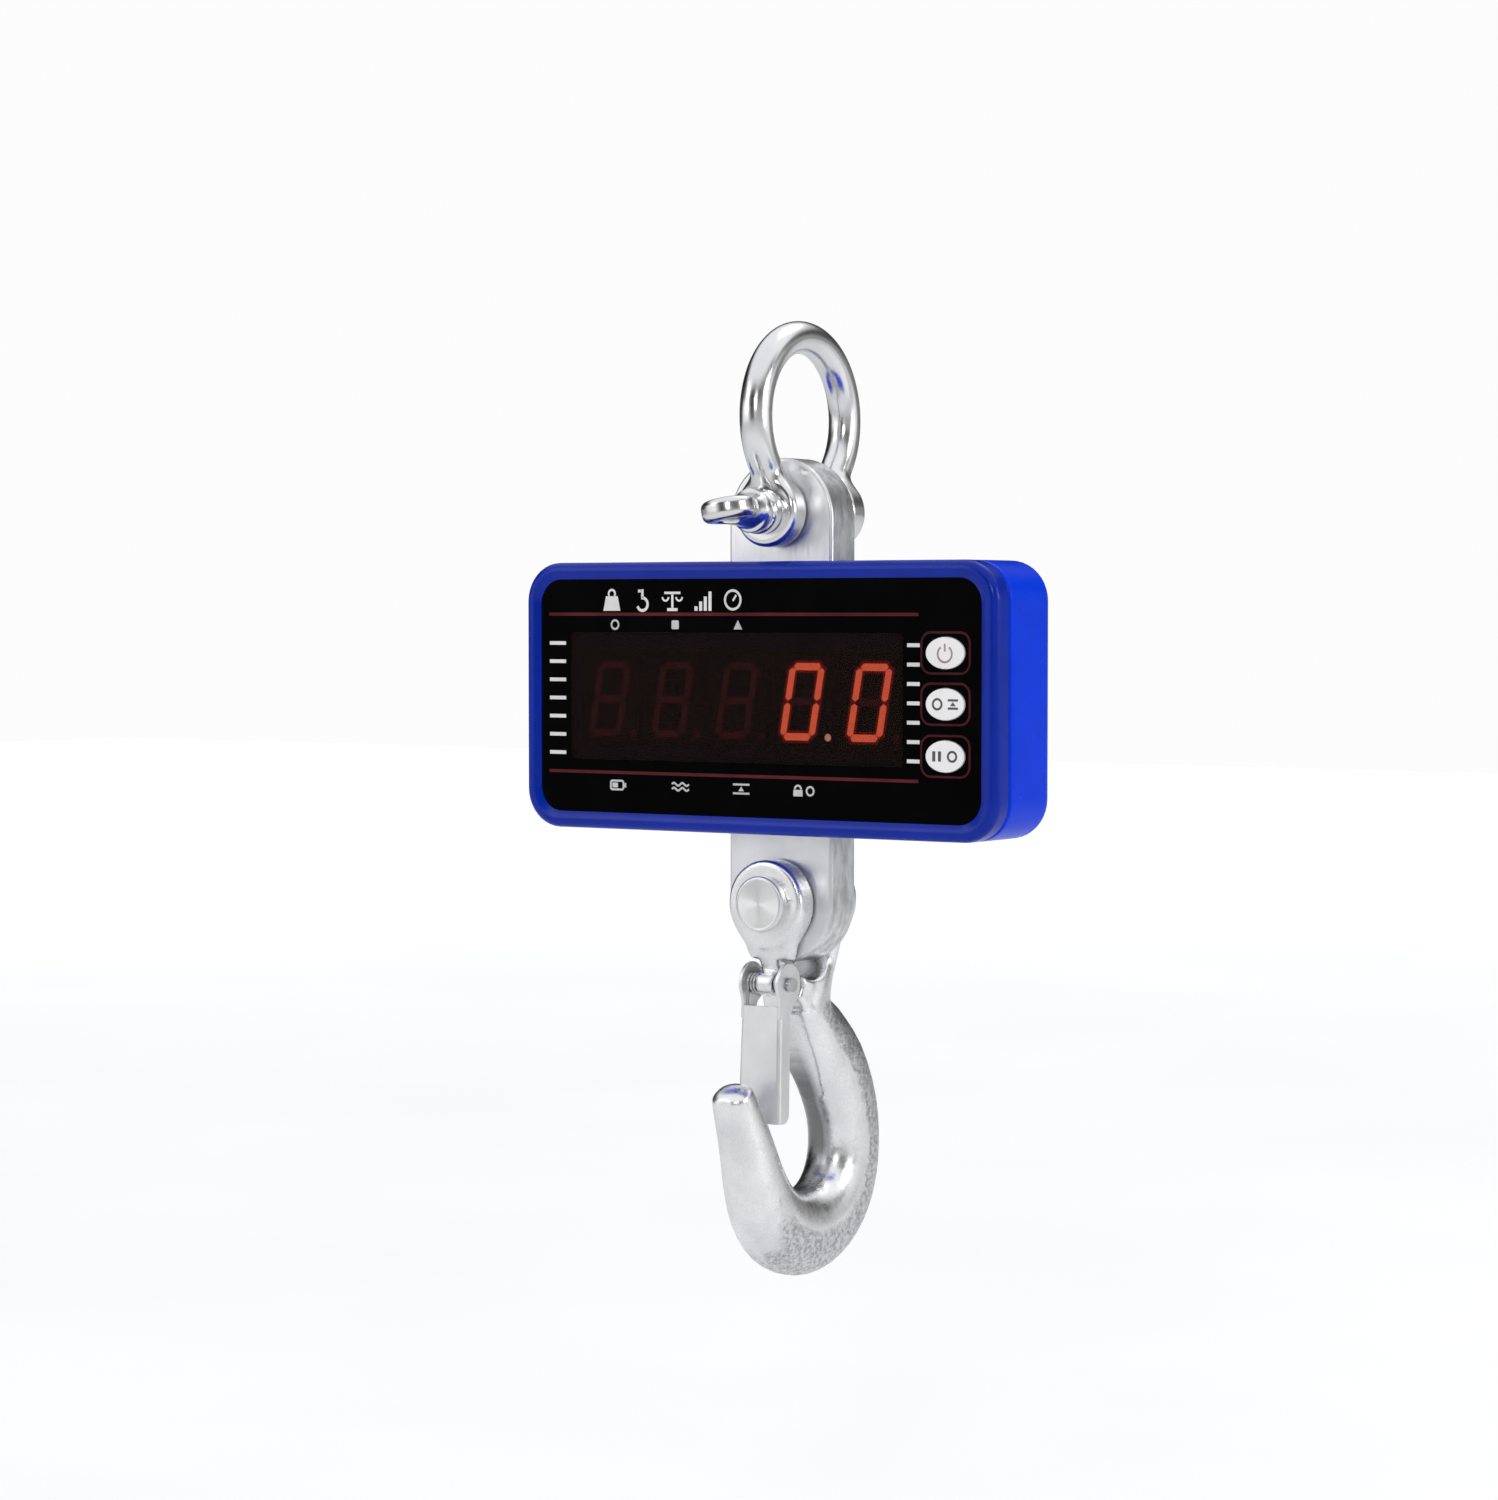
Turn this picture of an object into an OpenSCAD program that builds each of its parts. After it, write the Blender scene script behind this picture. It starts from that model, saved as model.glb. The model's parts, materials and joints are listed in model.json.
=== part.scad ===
// Hanging crane scale: bow shackle, plate load cell in a display housing, clevis hook with latch.
// Units are millimetres. The origin is the inner crown of the bow, +Z is up, the display faces -Y.

/* [Shackle] */
// Diameter of the bow's bar
bow_bar_d = 13.2; // [12:0.2:14]
// Radius of the crown arc, at the middle of the bar
bow_crown_r = 33; // [32:0.5:34]
// Radius of the reverse bend above each ear
bow_leg_r = 25; // [22:1:28]
// Gap between the two ears
bow_jaw = 33; // [33:0.5:36]
// Thickness of an ear
bow_ear_t = 11; // [10:0.5:12]
// Outer radius of an ear
bow_ear_r = 14.5; // [13:0.5:16]
// Diameter of the screw pin's shank
shackle_pin_d = 16; // [14:0.5:16]
// Distance from the bow's inner crown down to the screw pin
crown_to_pin = 64.7; // [62:0.1:68]
// Radius of the pin's eye tab
tab_r = 11; // [10:0.5:12]
// Thickness of the pin's eye tab
tab_t = 9; // [7:0.5:10]
// Radius of the eye hole in the tab
tab_hole_r = 4.2; // [3:0.2:5]

/* [Load cell] */
// Width of the load cell bar
cell_w = 50; // [48:1:52]
// Thickness of the load cell bar
cell_t = 18; // [16:0.5:18]
// How far the bar sits in front of the bow's middle plane
cell_offset = 6.5; // [5:0.5:7]
// Distance between the upper and the lower pin
pin_span = 158.6; // [156:0.2:162]
// Radius of the strain gauge pocket in each face
gauge_pocket_r = 12; // [9:0.5:14]

/* [Housing] */
// Width of the housing
case_w = 228; // [222:1:236]
// Height of the housing
case_h = 110; // [108:1:114]
// Depth of the housing, from the panel face to the rear face
case_d = 42.7; // [42:0.1:46]
// Radius of the housing's corners, seen from the front
case_corner_r = 16; // [14:1:18]
// Wall thickness of the housing
case_wall = 2.6; // [2.2:0.1:3]
// Distance from the upper pin down to the middle of the housing
pin_to_case = 75.3; // [75:0.1:78]

/* [Display] */
// Width of the front panel
panel_w = 212.6; // [211:0.2:214]
// Height of the front panel
panel_h = 95.8; // [95:0.2:97]
// Width of the display window
window_w = 162; // [160:1:164]
// Height of the display window
window_h = 52.8; // [50:0.4:54]
// Number of digits
digit_count = 5; // [5:1:5]
// Distance from digit to digit
digit_pitch = 31.7; // [29:0.1:32]

/* [Keys] */
// Width of a key
key_w = 17.7; // [16:0.1:18.5]
// Height of a key
key_h = 12.5; // [11:0.1:13]
// Travel of a key
key_travel = 0.8; // [0.5:0.1:0.9]

/* [Hook] */
// Diameter of the clevis pin
hook_pin_d = 16; // [14:0.5:16]
// Outer radius of the fork's ears
fork_ear_r = 17.6; // [16:0.2:19]
// Radius of the latch rivet
latch_rivet_r = 2; // [1.8:0.1:2.2]
// Length of the latch below its rivet
latch_length = 56.3; // [55:0.1:56.5]
// Width of the latch
latch_w = 20.6; // [20:0.2:21]

/* [Hidden] */
$fn = 48;

running_gap = 0.08;
overrun = 1;

// Heights of the main axes.
upper_pin_z = -crown_to_pin;
lower_pin_z = upper_pin_z - pin_span;
case_z = upper_pin_z - pin_to_case;

// The load cell's top end stops this much short of a full half circle round the pin.
cell_top_drop = 3.2;

// Depths: the load cell's middle plane, then the housing measured back from the panel's face.
cell_y = -cell_offset;
cell_front_y = cell_y - cell_t / 2;
cell_back_y = cell_y + cell_t / 2;
face_y = cell_y - 28.5;
lip_y = face_y - 1.5;
rear_y = face_y + case_d;
rear_inner_y = rear_y - case_wall;
panel_t = 2;
panel_back_y = face_y + panel_t;
gasket_t = 0.8;
ledge_y = panel_back_y + gasket_t;
seam_y = face_y + 8.5;
seal_t = 0.8;
case_front_y = seam_y + seal_t;
ledge_open_w = 206;
ledge_open_h = 89;

// Window and digits.
window_x = -10.3;
digit_z = case_z - 1.2;
digit_w = 28;
digit_h = 40;
filter_back_y = face_y + 3.2;
digit_front_y = face_y + 3.4;
board_y = face_y + 13.8;
board_t = 1.6;

// Keys.
key_x = 90.1;
key_offsets = [18.75, -1.2, -21.5];
key_proud = 0.6;
key_clear = 0.3;
key_flange_front_y = panel_back_y + 0.1;
key_flange_t = 1.2;
key_stem_r = 2.2;
switch_body_t = 3.5;
switch_plunger_t = 1.5;
switch_top_y = board_y - switch_body_t - switch_plunger_t;
key_stem_end_y = switch_top_y - key_travel - 0.2;

// Screws.
case_screw_xz = [
    [-104, 45.5], [104, 45.5], [-104, -45.5], [104, -45.5],
    [-42, 49.2], [42, 49.2], [-42, -49.2], [42, -49.2]
];
case_screw_r = 1.5;
case_screw_head_r = 2.9;
case_screw_recess = 18;
board_screw_xz = [[-95, 37], [95, 37], [-95, -37], [95, -37]];
small_screw_r = 1.2;
main_board_min = [36, -30];
main_board_max = [96, 30];
main_board_y = face_y + 30;
main_screw_xz = [[40, 26], [92, 26], [40, -26], [92, -26]];
holder_screw_x = [-105.5, -29.5];
cell_screw_x = [-12, 12];
cell_screw_z = case_z + case_h / 2 - 12;
cell_screw_r = 2.5;

// Battery.
battery_r = 9.2;
battery_len = 65;
battery_x = -67;
battery_y = face_y + 28.5;
battery_z = [9.6, -9.6];

// Charging socket in the left wall.
socket_y = face_y + 28.5;
socket_z = case_z - 33;
socket_r = 5.5;
socket_l = 14.8;
socket_flange_r = 6.5;
socket_flange_t = 1.3;
socket_boss_x = -case_w / 2 + 7;

// Shackle ears.
ear_out_y = bow_jaw / 2 + bow_ear_t;
ear_mid_y = ear_out_y - bow_ear_t / 2;
collar_t = 4.5;
collar_r = 9.4;
tab_y = cell_y - 45.8;

// Clevis, measured from the load cell's middle plane.
fork_in = 9.6;
fork_front_out = 20.8;
fork_rear_out = 22.5;
fork_slot_depth = 31;
hook_head_r = 11.4;
hook_head_t = 4.3;
washer_t = 2.4;
split_pin_y = fork_rear_out + washer_t + 2.4;
hook_pin_end_y = split_pin_y + 4;

// Latch pivot, measured from the load cell's middle plane and the lower pin.
pivot_y = -16.5;
pivot_z = lower_pin_z - 32.7;
latch_sheet_t = 1.5;
latch_lean = 2.6;
lug_half_w = 4;

// Hook, from the neck to the tip: depth, height below the lower pin, half depth, half width.
hook_stations = [
    [2.5, -33, 11, 11.2], [4.5, -45, 12.2, 11.6], [14.5, -56, 16, 12.2], [28.3, -71, 17.4, 12.6],
    [37.3, -88.5, 17, 12.8], [39.2, -105, 16.6, 13], [35.6, -119, 17, 13.2], [27, -129.5, 17.4, 13.3],
    [14.5, -135.6, 17.6, 13.4], [1, -136.6, 17.6, 13.3], [-11.5, -132.5, 16.6, 13],
    [-21, -124, 15.2, 12.5], [-27.5, -112.5, 13, 11.8], [-32.5, -99.5, 10.9, 10.8],
    [-37.5, -87.5, 9.4, 9.8], [-41.3, -79.5, 8.6, 9], [-43.4, -75.2, 6.6, 7.4], [-44.2, -73.2, 3.2, 4]
];

// ---------- helpers ----------

// Rounded rectangle about the origin.
module rounded_rect(w, h, r) {
    square([w, h - 2 * r], center = true);
    square([w - 2 * r, h], center = true);
    for (x = [-1, 1], y = [-1, 1])
        translate([x * (w / 2 - r), y * (h / 2 - r)]) circle(r = r);
}

// Extrudes an outline drawn as X and Z from depth y0 back to depth y1.
module deep(y0, y1) {
    translate([0, y1, 0]) rotate([90, 0, 0]) linear_extrude(y1 - y0) children();
}

// Extrudes an outline drawn as Y and Z from x0 to x1.
module across(x0, x1) {
    translate([x0, 0, 0]) rotate([90, 0, 90]) linear_extrude(x1 - x0) children();
}

module rod_y(r, y0, y1) {
    translate([0, y1, 0]) rotate([90, 0, 0]) cylinder(r = r, h = y1 - y0);
}

module rod_x(r, x0, x1) {
    translate([x0, 0, 0]) rotate([0, 90, 0]) cylinder(r = r, h = x1 - x0);
}

// Slab with rounded corners, centred on the housing.
module case_slab(w, h, r, y0, y1, x = 0, z = 0) {
    translate([x, 0, case_z + z]) deep(y0, y1) rounded_rect(w, h, r);
}

// Outline with its corners rounded by r0 at depth y0 and by r1 at depth y1.
module end_rounded(w, y0, y1, r0, r1) {
    translate([-w / 2, y0 + r0]) square([w, y1 - y0 - r0 - r1]);
    translate([-w / 2 + r0, y0]) square([w - 2 * r0, r0 + 0.01]);
    translate([-w / 2 + r1, y1 - r1 - 0.01]) square([w - 2 * r1, r1 + 0.01]);
    for (s = [-1, 1]) {
        translate([s * (w / 2 - r0), y0 + r0]) circle(r = r0);
        translate([s * (w / 2 - r1), y1 - r1]) circle(r = r1);
    }
}

// Box with rounded corners whose front and rear edges are rounded too.
module case_block(w, h, r, y0, y1, front_r, rear_r) {
    intersection() {
        case_slab(w, h, r, y0, y1);
        translate([0, 0, case_z - h]) linear_extrude(2 * h) end_rounded(w, y0, y1, front_r, rear_r);
        translate([-w, 0, case_z]) rotate([90, 0, 90]) linear_extrude(2 * w)
            rotate([0, 0, -90]) mirror([1, 0]) end_rounded(h, y0, y1, front_r, rear_r);
    }
}

module ellipse(w, h) {
    scale([1, h / w]) circle(r = w / 2);
}

// Bent round bar in the plane X = 0: centre of the bend, radius, bar radius, start and end angle.
module bent_bar(cy, cz, bend_r, bar_r, a0, a1) {
    translate([0, cy, cz]) rotate([90, 0, 90]) rotate([0, 0, a0])
        rotate_extrude(angle = a1 - a0, $fn = 72) translate([bend_r, 0]) circle(r = bar_r, $fn = 28);
}

// Smooth curve through the points p, with n steps between each two.
function curve_point(a, b, c, d, t) =
    0.5 * (2 * b + (c - a) * t + (2 * a - 5 * b + 4 * c - d) * t * t
           + (3 * b - a - 3 * c + d) * t * t * t);
function smooth_curve(p, n) =
    let (m = len(p), e = concat([2 * p[0] - p[1]], p, [2 * p[m - 1] - p[m - 2]]))
    concat([for (i = [1 : m - 1]) for (k = [0 : n - 1])
            curve_point(e[i - 1], e[i], e[i + 1], e[i + 2], k / n)], [p[m - 1]]);
function soft_power(v, p) = sign(v) * pow(abs(v), p);

// Faces of a closed sweep: last + 1 rings of points, joined and capped.
function sweep_faces(last, sides) = concat(
    [for (i = [0 : last - 1], k = [0 : sides - 1])
        let (k2 = (k + 1) % sides)
        each [[i * sides + k, (i + 1) * sides + k2, (i + 1) * sides + k],
              [i * sides + k, i * sides + k2, (i + 1) * sides + k2]]],
    [[for (k = [sides - 1 : -1 : 0]) k], [for (k = [0 : sides - 1]) last * sides + k]]);

// Forged limb: an outline like a rounded square, carried along stations of
// depth, height, half depth and half width.
module forged_limb(stations, steps, sides) {
    squareness = 0.84;
    s = smooth_curve(stations, steps);
    last = len(s) - 1;
    points = [for (i = [0 : last])
        let (a = s[max(i - 1, 0)], b = s[min(i + 1, last)],
             d = [b[0] - a[0], b[1] - a[1]], t = d / norm(d))
        for (k = [0 : sides - 1])
            let (u = soft_power(cos(360 * k / sides), squareness) * s[i][2],
                 v = soft_power(sin(360 * k / sides), squareness) * s[i][3])
            [v, s[i][0] + t[1] * u, s[i][1] - t[0] * u]];
    polyhedron(points, sweep_faces(last, sides), convexity = 6);
}

// Round wire along a path that never runs along X.
module wire(path, r, sides) {
    last = len(path) - 1;
    points = [for (i = [0 : last])
        let (d = path[min(i + 1, last)] - path[max(i - 1, 0)],
             n = cross([1, 0, 0], d), u = n / norm(n), v = cross(u, d / norm(d)))
        for (k = [0 : sides - 1])
            path[i] + r * (cos(360 * k / sides) * u + sin(360 * k / sides) * v)];
    polyhedron(points, sweep_faces(last, sides), convexity = 6);
}

// ---------- shackle ----------

module shackle_bow() {
    bar_r = bow_bar_d / 2;
    crown_z = bar_r - bow_crown_r;
    bend_y = ear_mid_y + bow_leg_r;
    bend_drop = sqrt(pow(bow_crown_r + bow_leg_r, 2) - pow(bend_y, 2));
    bend_z = crown_z - bend_drop;
    bend_a = atan2(bend_drop, bend_y);
    color("silver")
    difference() {
        union() {
            bent_bar(0, crown_z, bow_crown_r, bar_r, -bend_a, 180 + bend_a);
            bent_bar(bend_y, bend_z, bow_leg_r, bar_r, 180 - bend_a, 180);
            bent_bar(-bend_y, bend_z, bow_leg_r, bar_r, 0, bend_a);
            for (s = [-1, 1]) {
                // Fills the joint between the crown and the reverse bend.
                translate([0, s * bow_crown_r * cos(bend_a), crown_z - bow_crown_r * sin(bend_a)])
                    sphere(r = bar_r + 0.08);
                translate([0, s * ear_mid_y, upper_pin_z]) cylinder(r = bar_r, h = bend_z - upper_pin_z);
                translate([0, s * ear_mid_y, upper_pin_z]) rod_y(bow_ear_r, -bow_ear_t / 2, bow_ear_t / 2);
            }
        }
        translate([0, 0, upper_pin_z]) rod_y(shackle_pin_d / 2 + running_gap, -40, 40);
        // Spot face for the pin's collar.
        translate([0, 0, upper_pin_z]) rod_y(collar_r + 1, -40, -ear_out_y);
    }
}

module shackle_pin() {
    collar_front_y = -ear_out_y - 0.1 - collar_t;
    color("gainsboro")
    translate([0, 0, upper_pin_z])
    difference() {
        union() {
            rod_y(shackle_pin_d / 2, collar_front_y + 1, ear_out_y + 2);
            rod_y(collar_r, collar_front_y, -ear_out_y - 0.1);
            translate([0, collar_front_y + 0.5, 0]) rotate([90, 0, 0])
                cylinder(r1 = 7.6, r2 = 4.4, h = 11);
            translate([0, tab_y, -tab_t / 2]) cylinder(r = tab_r, h = tab_t);
            translate([-8, tab_y, -tab_t / 2]) cube([16, collar_front_y - tab_y + 1, tab_t]);
        }
        translate([0, tab_y, -tab_t]) cylinder(r = tab_hole_r, h = 2 * tab_t);
    }
}

// ---------- load cell ----------

module bar_outline() {
    end_z = pin_span / 2;
    square([cell_w, pin_span - 2 * cell_top_drop], center = true);
    translate([0, end_z - cell_top_drop]) circle(r = cell_w / 2);
    translate([0, -end_z]) circle(r = cell_w / 2);
    translate([0, -end_z + 5]) square([cell_w, 10], center = true);
}

module load_cell() {
    mid_z = (upper_pin_z + lower_pin_z) / 2;
    cover_r = gauge_pocket_r + 2;
    color("gainsboro")
    difference() {
        translate([0, 0, mid_z]) deep(cell_front_y, cell_back_y) bar_outline();
        translate([0, cell_y, upper_pin_z]) rod_y(shackle_pin_d / 2 + running_gap, -cell_t, cell_t);
        translate([0, cell_y, lower_pin_z]) rod_y(hook_pin_d / 2 + running_gap, -cell_t, cell_t);
        translate([0, 0, case_z]) {
            rod_y(gauge_pocket_r, cell_front_y - overrun, cell_front_y + 5);
            rod_y(gauge_pocket_r, cell_back_y - 5, cell_back_y + overrun);
            rod_y(cover_r, cell_front_y - overrun, cell_front_y + 1.2);
            rod_y(cover_r, cell_back_y - 1.2, cell_back_y + overrun);
            translate([0, cell_y - 6, 0]) rod_x(1.6, gauge_pocket_r - 2, cell_w);
        }
        for (x = cell_screw_x)
            translate([x, 0, cell_screw_z]) rod_y(cell_screw_r + 0.02, cell_back_y - 9, cell_back_y + overrun);
    }
}

module gauge_covers() {
    cover_r = gauge_pocket_r + 1.9;
    color("darkgray")
    translate([0, 0, case_z]) {
        rod_y(cover_r, cell_front_y, cell_front_y + 1.2);
        rod_y(cover_r, cell_back_y - 1.2, cell_back_y);
    }
}

module cell_spacer() {
    color("dimgray")
    difference() {
        translate([-19, cell_back_y, cell_screw_z - 6]) cube([38, rear_inner_y - cell_back_y, 12]);
        for (x = cell_screw_x)
            translate([x, 0, cell_screw_z]) rod_y(cell_screw_r + 0.2, cell_back_y - overrun, rear_y);
    }
}

module cell_screws() {
    color("silver")
    for (x = cell_screw_x)
        translate([x, 0, cell_screw_z]) {
            rod_y(cell_screw_r, cell_back_y - 8, rear_y - 2.4);
            translate([0, rear_y - 2.4, 0]) rotate([-90, 0, 0]) cylinder(r1 = cell_screw_r, r2 = 4.8, h = 2.3);
        }
}

// ---------- housing ----------

module front_frame() {
    color("royalblue")
    difference() {
        case_block(case_w, case_h, case_corner_r, lip_y, seam_y, 3, 1.2);
        case_slab(panel_w + 0.4, panel_h + 0.4, 10.2, lip_y - overrun, ledge_y);
        case_slab(ledge_open_w, ledge_open_h, 8, ledge_y - overrun, seam_y + overrun);
        for (p = case_screw_xz)
            translate([p[0], 0, case_z + p[1]]) rod_y(case_screw_r + 0.02, ledge_y + 1.2, seam_y + overrun);
    }
}

module rear_case() {
    slot_w = cell_w + 2.4;
    slot_t = cell_t + 2.4;
    color("royalblue")
    difference() {
        union() {
            difference() {
                case_block(case_w, case_h, case_corner_r, case_front_y, rear_y, 1.2, 6);
                case_slab(case_w - 2 * case_wall, case_h - 2 * case_wall, case_corner_r - case_wall,
                          case_front_y - overrun, rear_inner_y);
            }
            for (p = case_screw_xz)
                translate([p[0], 0, case_z + p[1]]) rod_y(4.4, case_front_y, rear_inner_y + 0.5);
            for (p = board_screw_xz)
                translate([p[0], 0, case_z + p[1]]) rod_y(3.2, board_y + board_t, rear_inner_y + 0.5);
            for (p = main_screw_xz)
                translate([p[0], 0, case_z + p[1]]) rod_y(3, main_board_y + board_t, rear_inner_y + 0.5);
            translate([0, socket_y, socket_z]) rod_x(9, -case_w / 2 + 1, socket_boss_x);
        }
        // Slots that the load cell passes through.
        translate([-slot_w / 2, cell_y - slot_t / 2, case_z - case_h]) cube([slot_w, slot_t, 2 * case_h]);
        for (p = case_screw_xz)
            translate([p[0], 0, case_z + p[1]]) {
                rod_y(case_screw_r + 0.2, case_front_y - overrun, rear_y + overrun);
                rod_y(case_screw_head_r + 0.3, rear_y - case_screw_recess, rear_y + overrun);
            }
        for (p = board_screw_xz)
            translate([p[0], 0, case_z + p[1]]) rod_y(small_screw_r + 0.02, board_y, board_y + 10);
        for (p = main_screw_xz)
            translate([p[0], 0, case_z + p[1]]) rod_y(small_screw_r + 0.02, main_board_y, rear_inner_y);
        for (x = holder_screw_x)
            translate([x, 0, case_z]) rod_y(small_screw_r + 0.02, rear_inner_y - overrun, rear_inner_y + 1.8);
        for (x = cell_screw_x)
            translate([x, 0, cell_screw_z]) {
                rod_y(cell_screw_r + 0.2, rear_inner_y - overrun, rear_y);
                translate([0, rear_y - 2.4, 0]) rotate([-90, 0, 0])
                    cylinder(r1 = cell_screw_r + 0.2, r2 = 5.1, h = 2.41);
            }
        translate([0, socket_y, socket_z]) {
            rod_x(socket_r + 0.1, -case_w / 2 - overrun, socket_boss_x + overrun);
            rod_x(socket_flange_r + 0.2, -case_w / 2 - overrun, -case_w / 2 + socket_flange_t + 0.1);
        }
    }
}

module case_seal() {
    inset = 1.3;
    seal_w = 2.2;
    color("dimgray")
    difference() {
        case_slab(case_w - 2 * inset, case_h - 2 * inset, case_corner_r - inset, seam_y, case_front_y);
        case_slab(case_w - 2 * inset - 2 * seal_w, case_h - 2 * inset - 2 * seal_w,
                  case_corner_r - inset - seal_w, seam_y - overrun, case_front_y + overrun);
    }
}

module case_screws() {
    head_y = rear_y - case_screw_recess;
    color("dimgray")
    for (p = case_screw_xz)
        translate([p[0], 0, case_z + p[1]])
        difference() {
            union() {
                rod_y(case_screw_r, ledge_y + 2, head_y + 0.1);
                rod_y(case_screw_head_r, head_y, head_y + 2.4);
            }
            // Hexagonal key recess.
            translate([0, head_y + 3, 0]) rotate([90, 0, 0]) cylinder(r = 1.45, h = 2.2, $fn = 6);
        }
}

module slot_seal(z0) {
    color("dimgray")
    difference() {
        translate([-(cell_w + 2.4) / 2, cell_y - (cell_t + 2.4) / 2, z0])
            cube([cell_w + 2.4, cell_t + 2.4, case_wall]);
        translate([-cell_w / 2, cell_front_y, z0 - overrun]) cube([cell_w, cell_t, case_wall + 2 * overrun]);
    }
}

module top_seal() { slot_seal(case_z + case_h / 2 - case_wall); }

module bottom_seal() { slot_seal(case_z - case_h / 2); }

// ---------- front panel and display ----------

module front_panel() {
    color("black")
    difference() {
        case_slab(panel_w, panel_h, 10, face_y, panel_back_y);
        case_slab(window_w, window_h, 1.5, face_y - overrun, panel_back_y + overrun, x = window_x);
        for (dz = key_offsets)
            translate([key_x, 0, case_z + dz]) deep(face_y - overrun, panel_back_y + overrun)
                ellipse(key_w + 2 * key_clear, key_h + 2 * key_clear);
    }
}

module panel_gasket() {
    color("dimgray")
    difference() {
        case_slab(panel_w - 0.6, panel_h - 0.6, 9.7, panel_back_y, ledge_y);
        case_slab(ledge_open_w, ledge_open_h, 8, panel_back_y - overrun, ledge_y + overrun);
    }
}

module display_filter() {
    color("darkred")
    union() {
        case_slab(window_w - 0.3, window_h - 0.3, 1.4, face_y + 0.1, panel_back_y + 0.1, x = window_x);
        case_slab(window_w + 6, window_h + 6, 2, panel_back_y, filter_back_y, x = window_x);
    }
}

module display_board() {
    chips = [[-60, 20], [0, 26], [60, -12]];
    color("darkgreen")
    difference() {
        union() {
            case_slab(202, 84, 3, board_y, board_y + board_t);
            for (c = chips)
                translate([c[0] - 7, board_y + board_t - 0.01, case_z + c[1] - 4]) cube([14, 1.8, 8]);
        }
        for (p = board_screw_xz)
            translate([p[0], 0, case_z + p[1]]) rod_y(small_screw_r + 0.15, board_y - overrun, board_y + 3);
    }
}

// Seven-segment module: a potted box with a shallow frame round its face.
module led_digit(i) {
    x = window_x + digit_pitch * (i - (digit_count + 1) / 2);
    color("saddlebrown")
    difference() {
        translate([x - digit_w / 2, digit_front_y, digit_z - digit_h / 2])
            cube([digit_w, board_y - digit_front_y, digit_h]);
        translate([x - digit_w / 2 + 1, digit_front_y - overrun, digit_z - digit_h / 2 + 1])
            cube([digit_w - 2, overrun + 0.3, digit_h - 2]);
    }
}

module led_digit_1() { led_digit(1); }

module led_digit_2() { led_digit(2); }

module led_digit_3() { led_digit(3); }

module led_digit_4() { led_digit(4); }

module led_digit_5() { led_digit(5); }

module indicator_leds() {
    unit_x = [-69.5, -39.2, -8.3];
    state_x = [-67, -36.8, -6.8, 22.2];
    color("orangered") {
        for (x = unit_x) translate([x, 0, case_z + 33]) rod_y(1.5, board_y - 8, board_y);
        for (x = state_x) translate([x, 0, case_z - 36.7]) rod_y(1.5, board_y - 8, board_y);
    }
}

module key_switches() {
    color("dimgray")
    for (dz = key_offsets)
        translate([key_x, 0, case_z + dz]) {
            translate([-3, board_y - switch_body_t, -3]) cube([6, switch_body_t, 6]);
            rod_y(1.7, switch_top_y, board_y - switch_body_t + 0.1);
        }
}

module display_board_screws() {
    color("silver")
    for (p = board_screw_xz)
        translate([p[0], 0, case_z + p[1]]) {
            rod_y(2.4, board_y - 1.6, board_y);
            rod_y(small_screw_r, board_y - 0.5, board_y + 9);
        }
}

// ---------- keys ----------

module key_cap(i) {
    color("white")
    translate([key_x, 0, case_z + key_offsets[i]]) {
        deep(face_y - key_proud, key_flange_front_y + 0.2) ellipse(key_w, key_h);
        deep(key_flange_front_y, key_flange_front_y + key_flange_t) ellipse(key_w + 2.4, key_h + 2.4);
        rod_y(key_stem_r, key_flange_front_y + key_flange_t - 0.2, key_stem_end_y);
    }
}

module power_key() { key_cap(0); }

module zero_key() { key_cap(1); }

module hold_key() { key_cap(2); }

// ---------- electronics and battery ----------

module main_board() {
    w = main_board_max[0] - main_board_min[0];
    h = main_board_max[1] - main_board_min[1];
    color("darkgreen")
    difference() {
        union() {
            translate([main_board_min[0], main_board_y, case_z + main_board_min[1]]) cube([w, board_t, h]);
            // Converter chip, transformer and the two plug blocks.
            translate([52, main_board_y - 2.4, case_z - 6]) cube([16, 2.5, 12]);
            translate([74, main_board_y - 8, case_z + 2]) cube([12, 8.1, 14]);
            translate([38, main_board_y - 10, case_z - 4]) cube([8, 10.1, 8]);
            translate([36, main_board_y + board_t - 0.1, case_z - 17]) cube([8, 6.5, 8]);
        }
        for (p = main_screw_xz)
            translate([p[0], 0, case_z + p[1]])
                rod_y(small_screw_r + 0.15, main_board_y - overrun, main_board_y + 3);
    }
}

module main_board_screws() {
    color("silver")
    for (p = main_screw_xz)
        translate([p[0], 0, case_z + p[1]]) {
            rod_y(2.4, main_board_y - 1.6, main_board_y);
            rod_y(small_screw_r, main_board_y - 0.5, rear_inner_y - 0.5);
        }
}

// Gauge lead, from the pocket through the bar's side to the plug block on the main board.
module sensor_cable() {
    color("gray")
    translate([0, cell_y - 6, case_z]) rod_x(1.4, gauge_pocket_r + 1, 38);
}

module battery_cells() {
    color("mediumpurple")
    for (dz = battery_z)
        translate([0, battery_y, case_z + dz]) rod_x(battery_r, battery_x - battery_len / 2,
                                                     battery_x + battery_len / 2);
}

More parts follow.
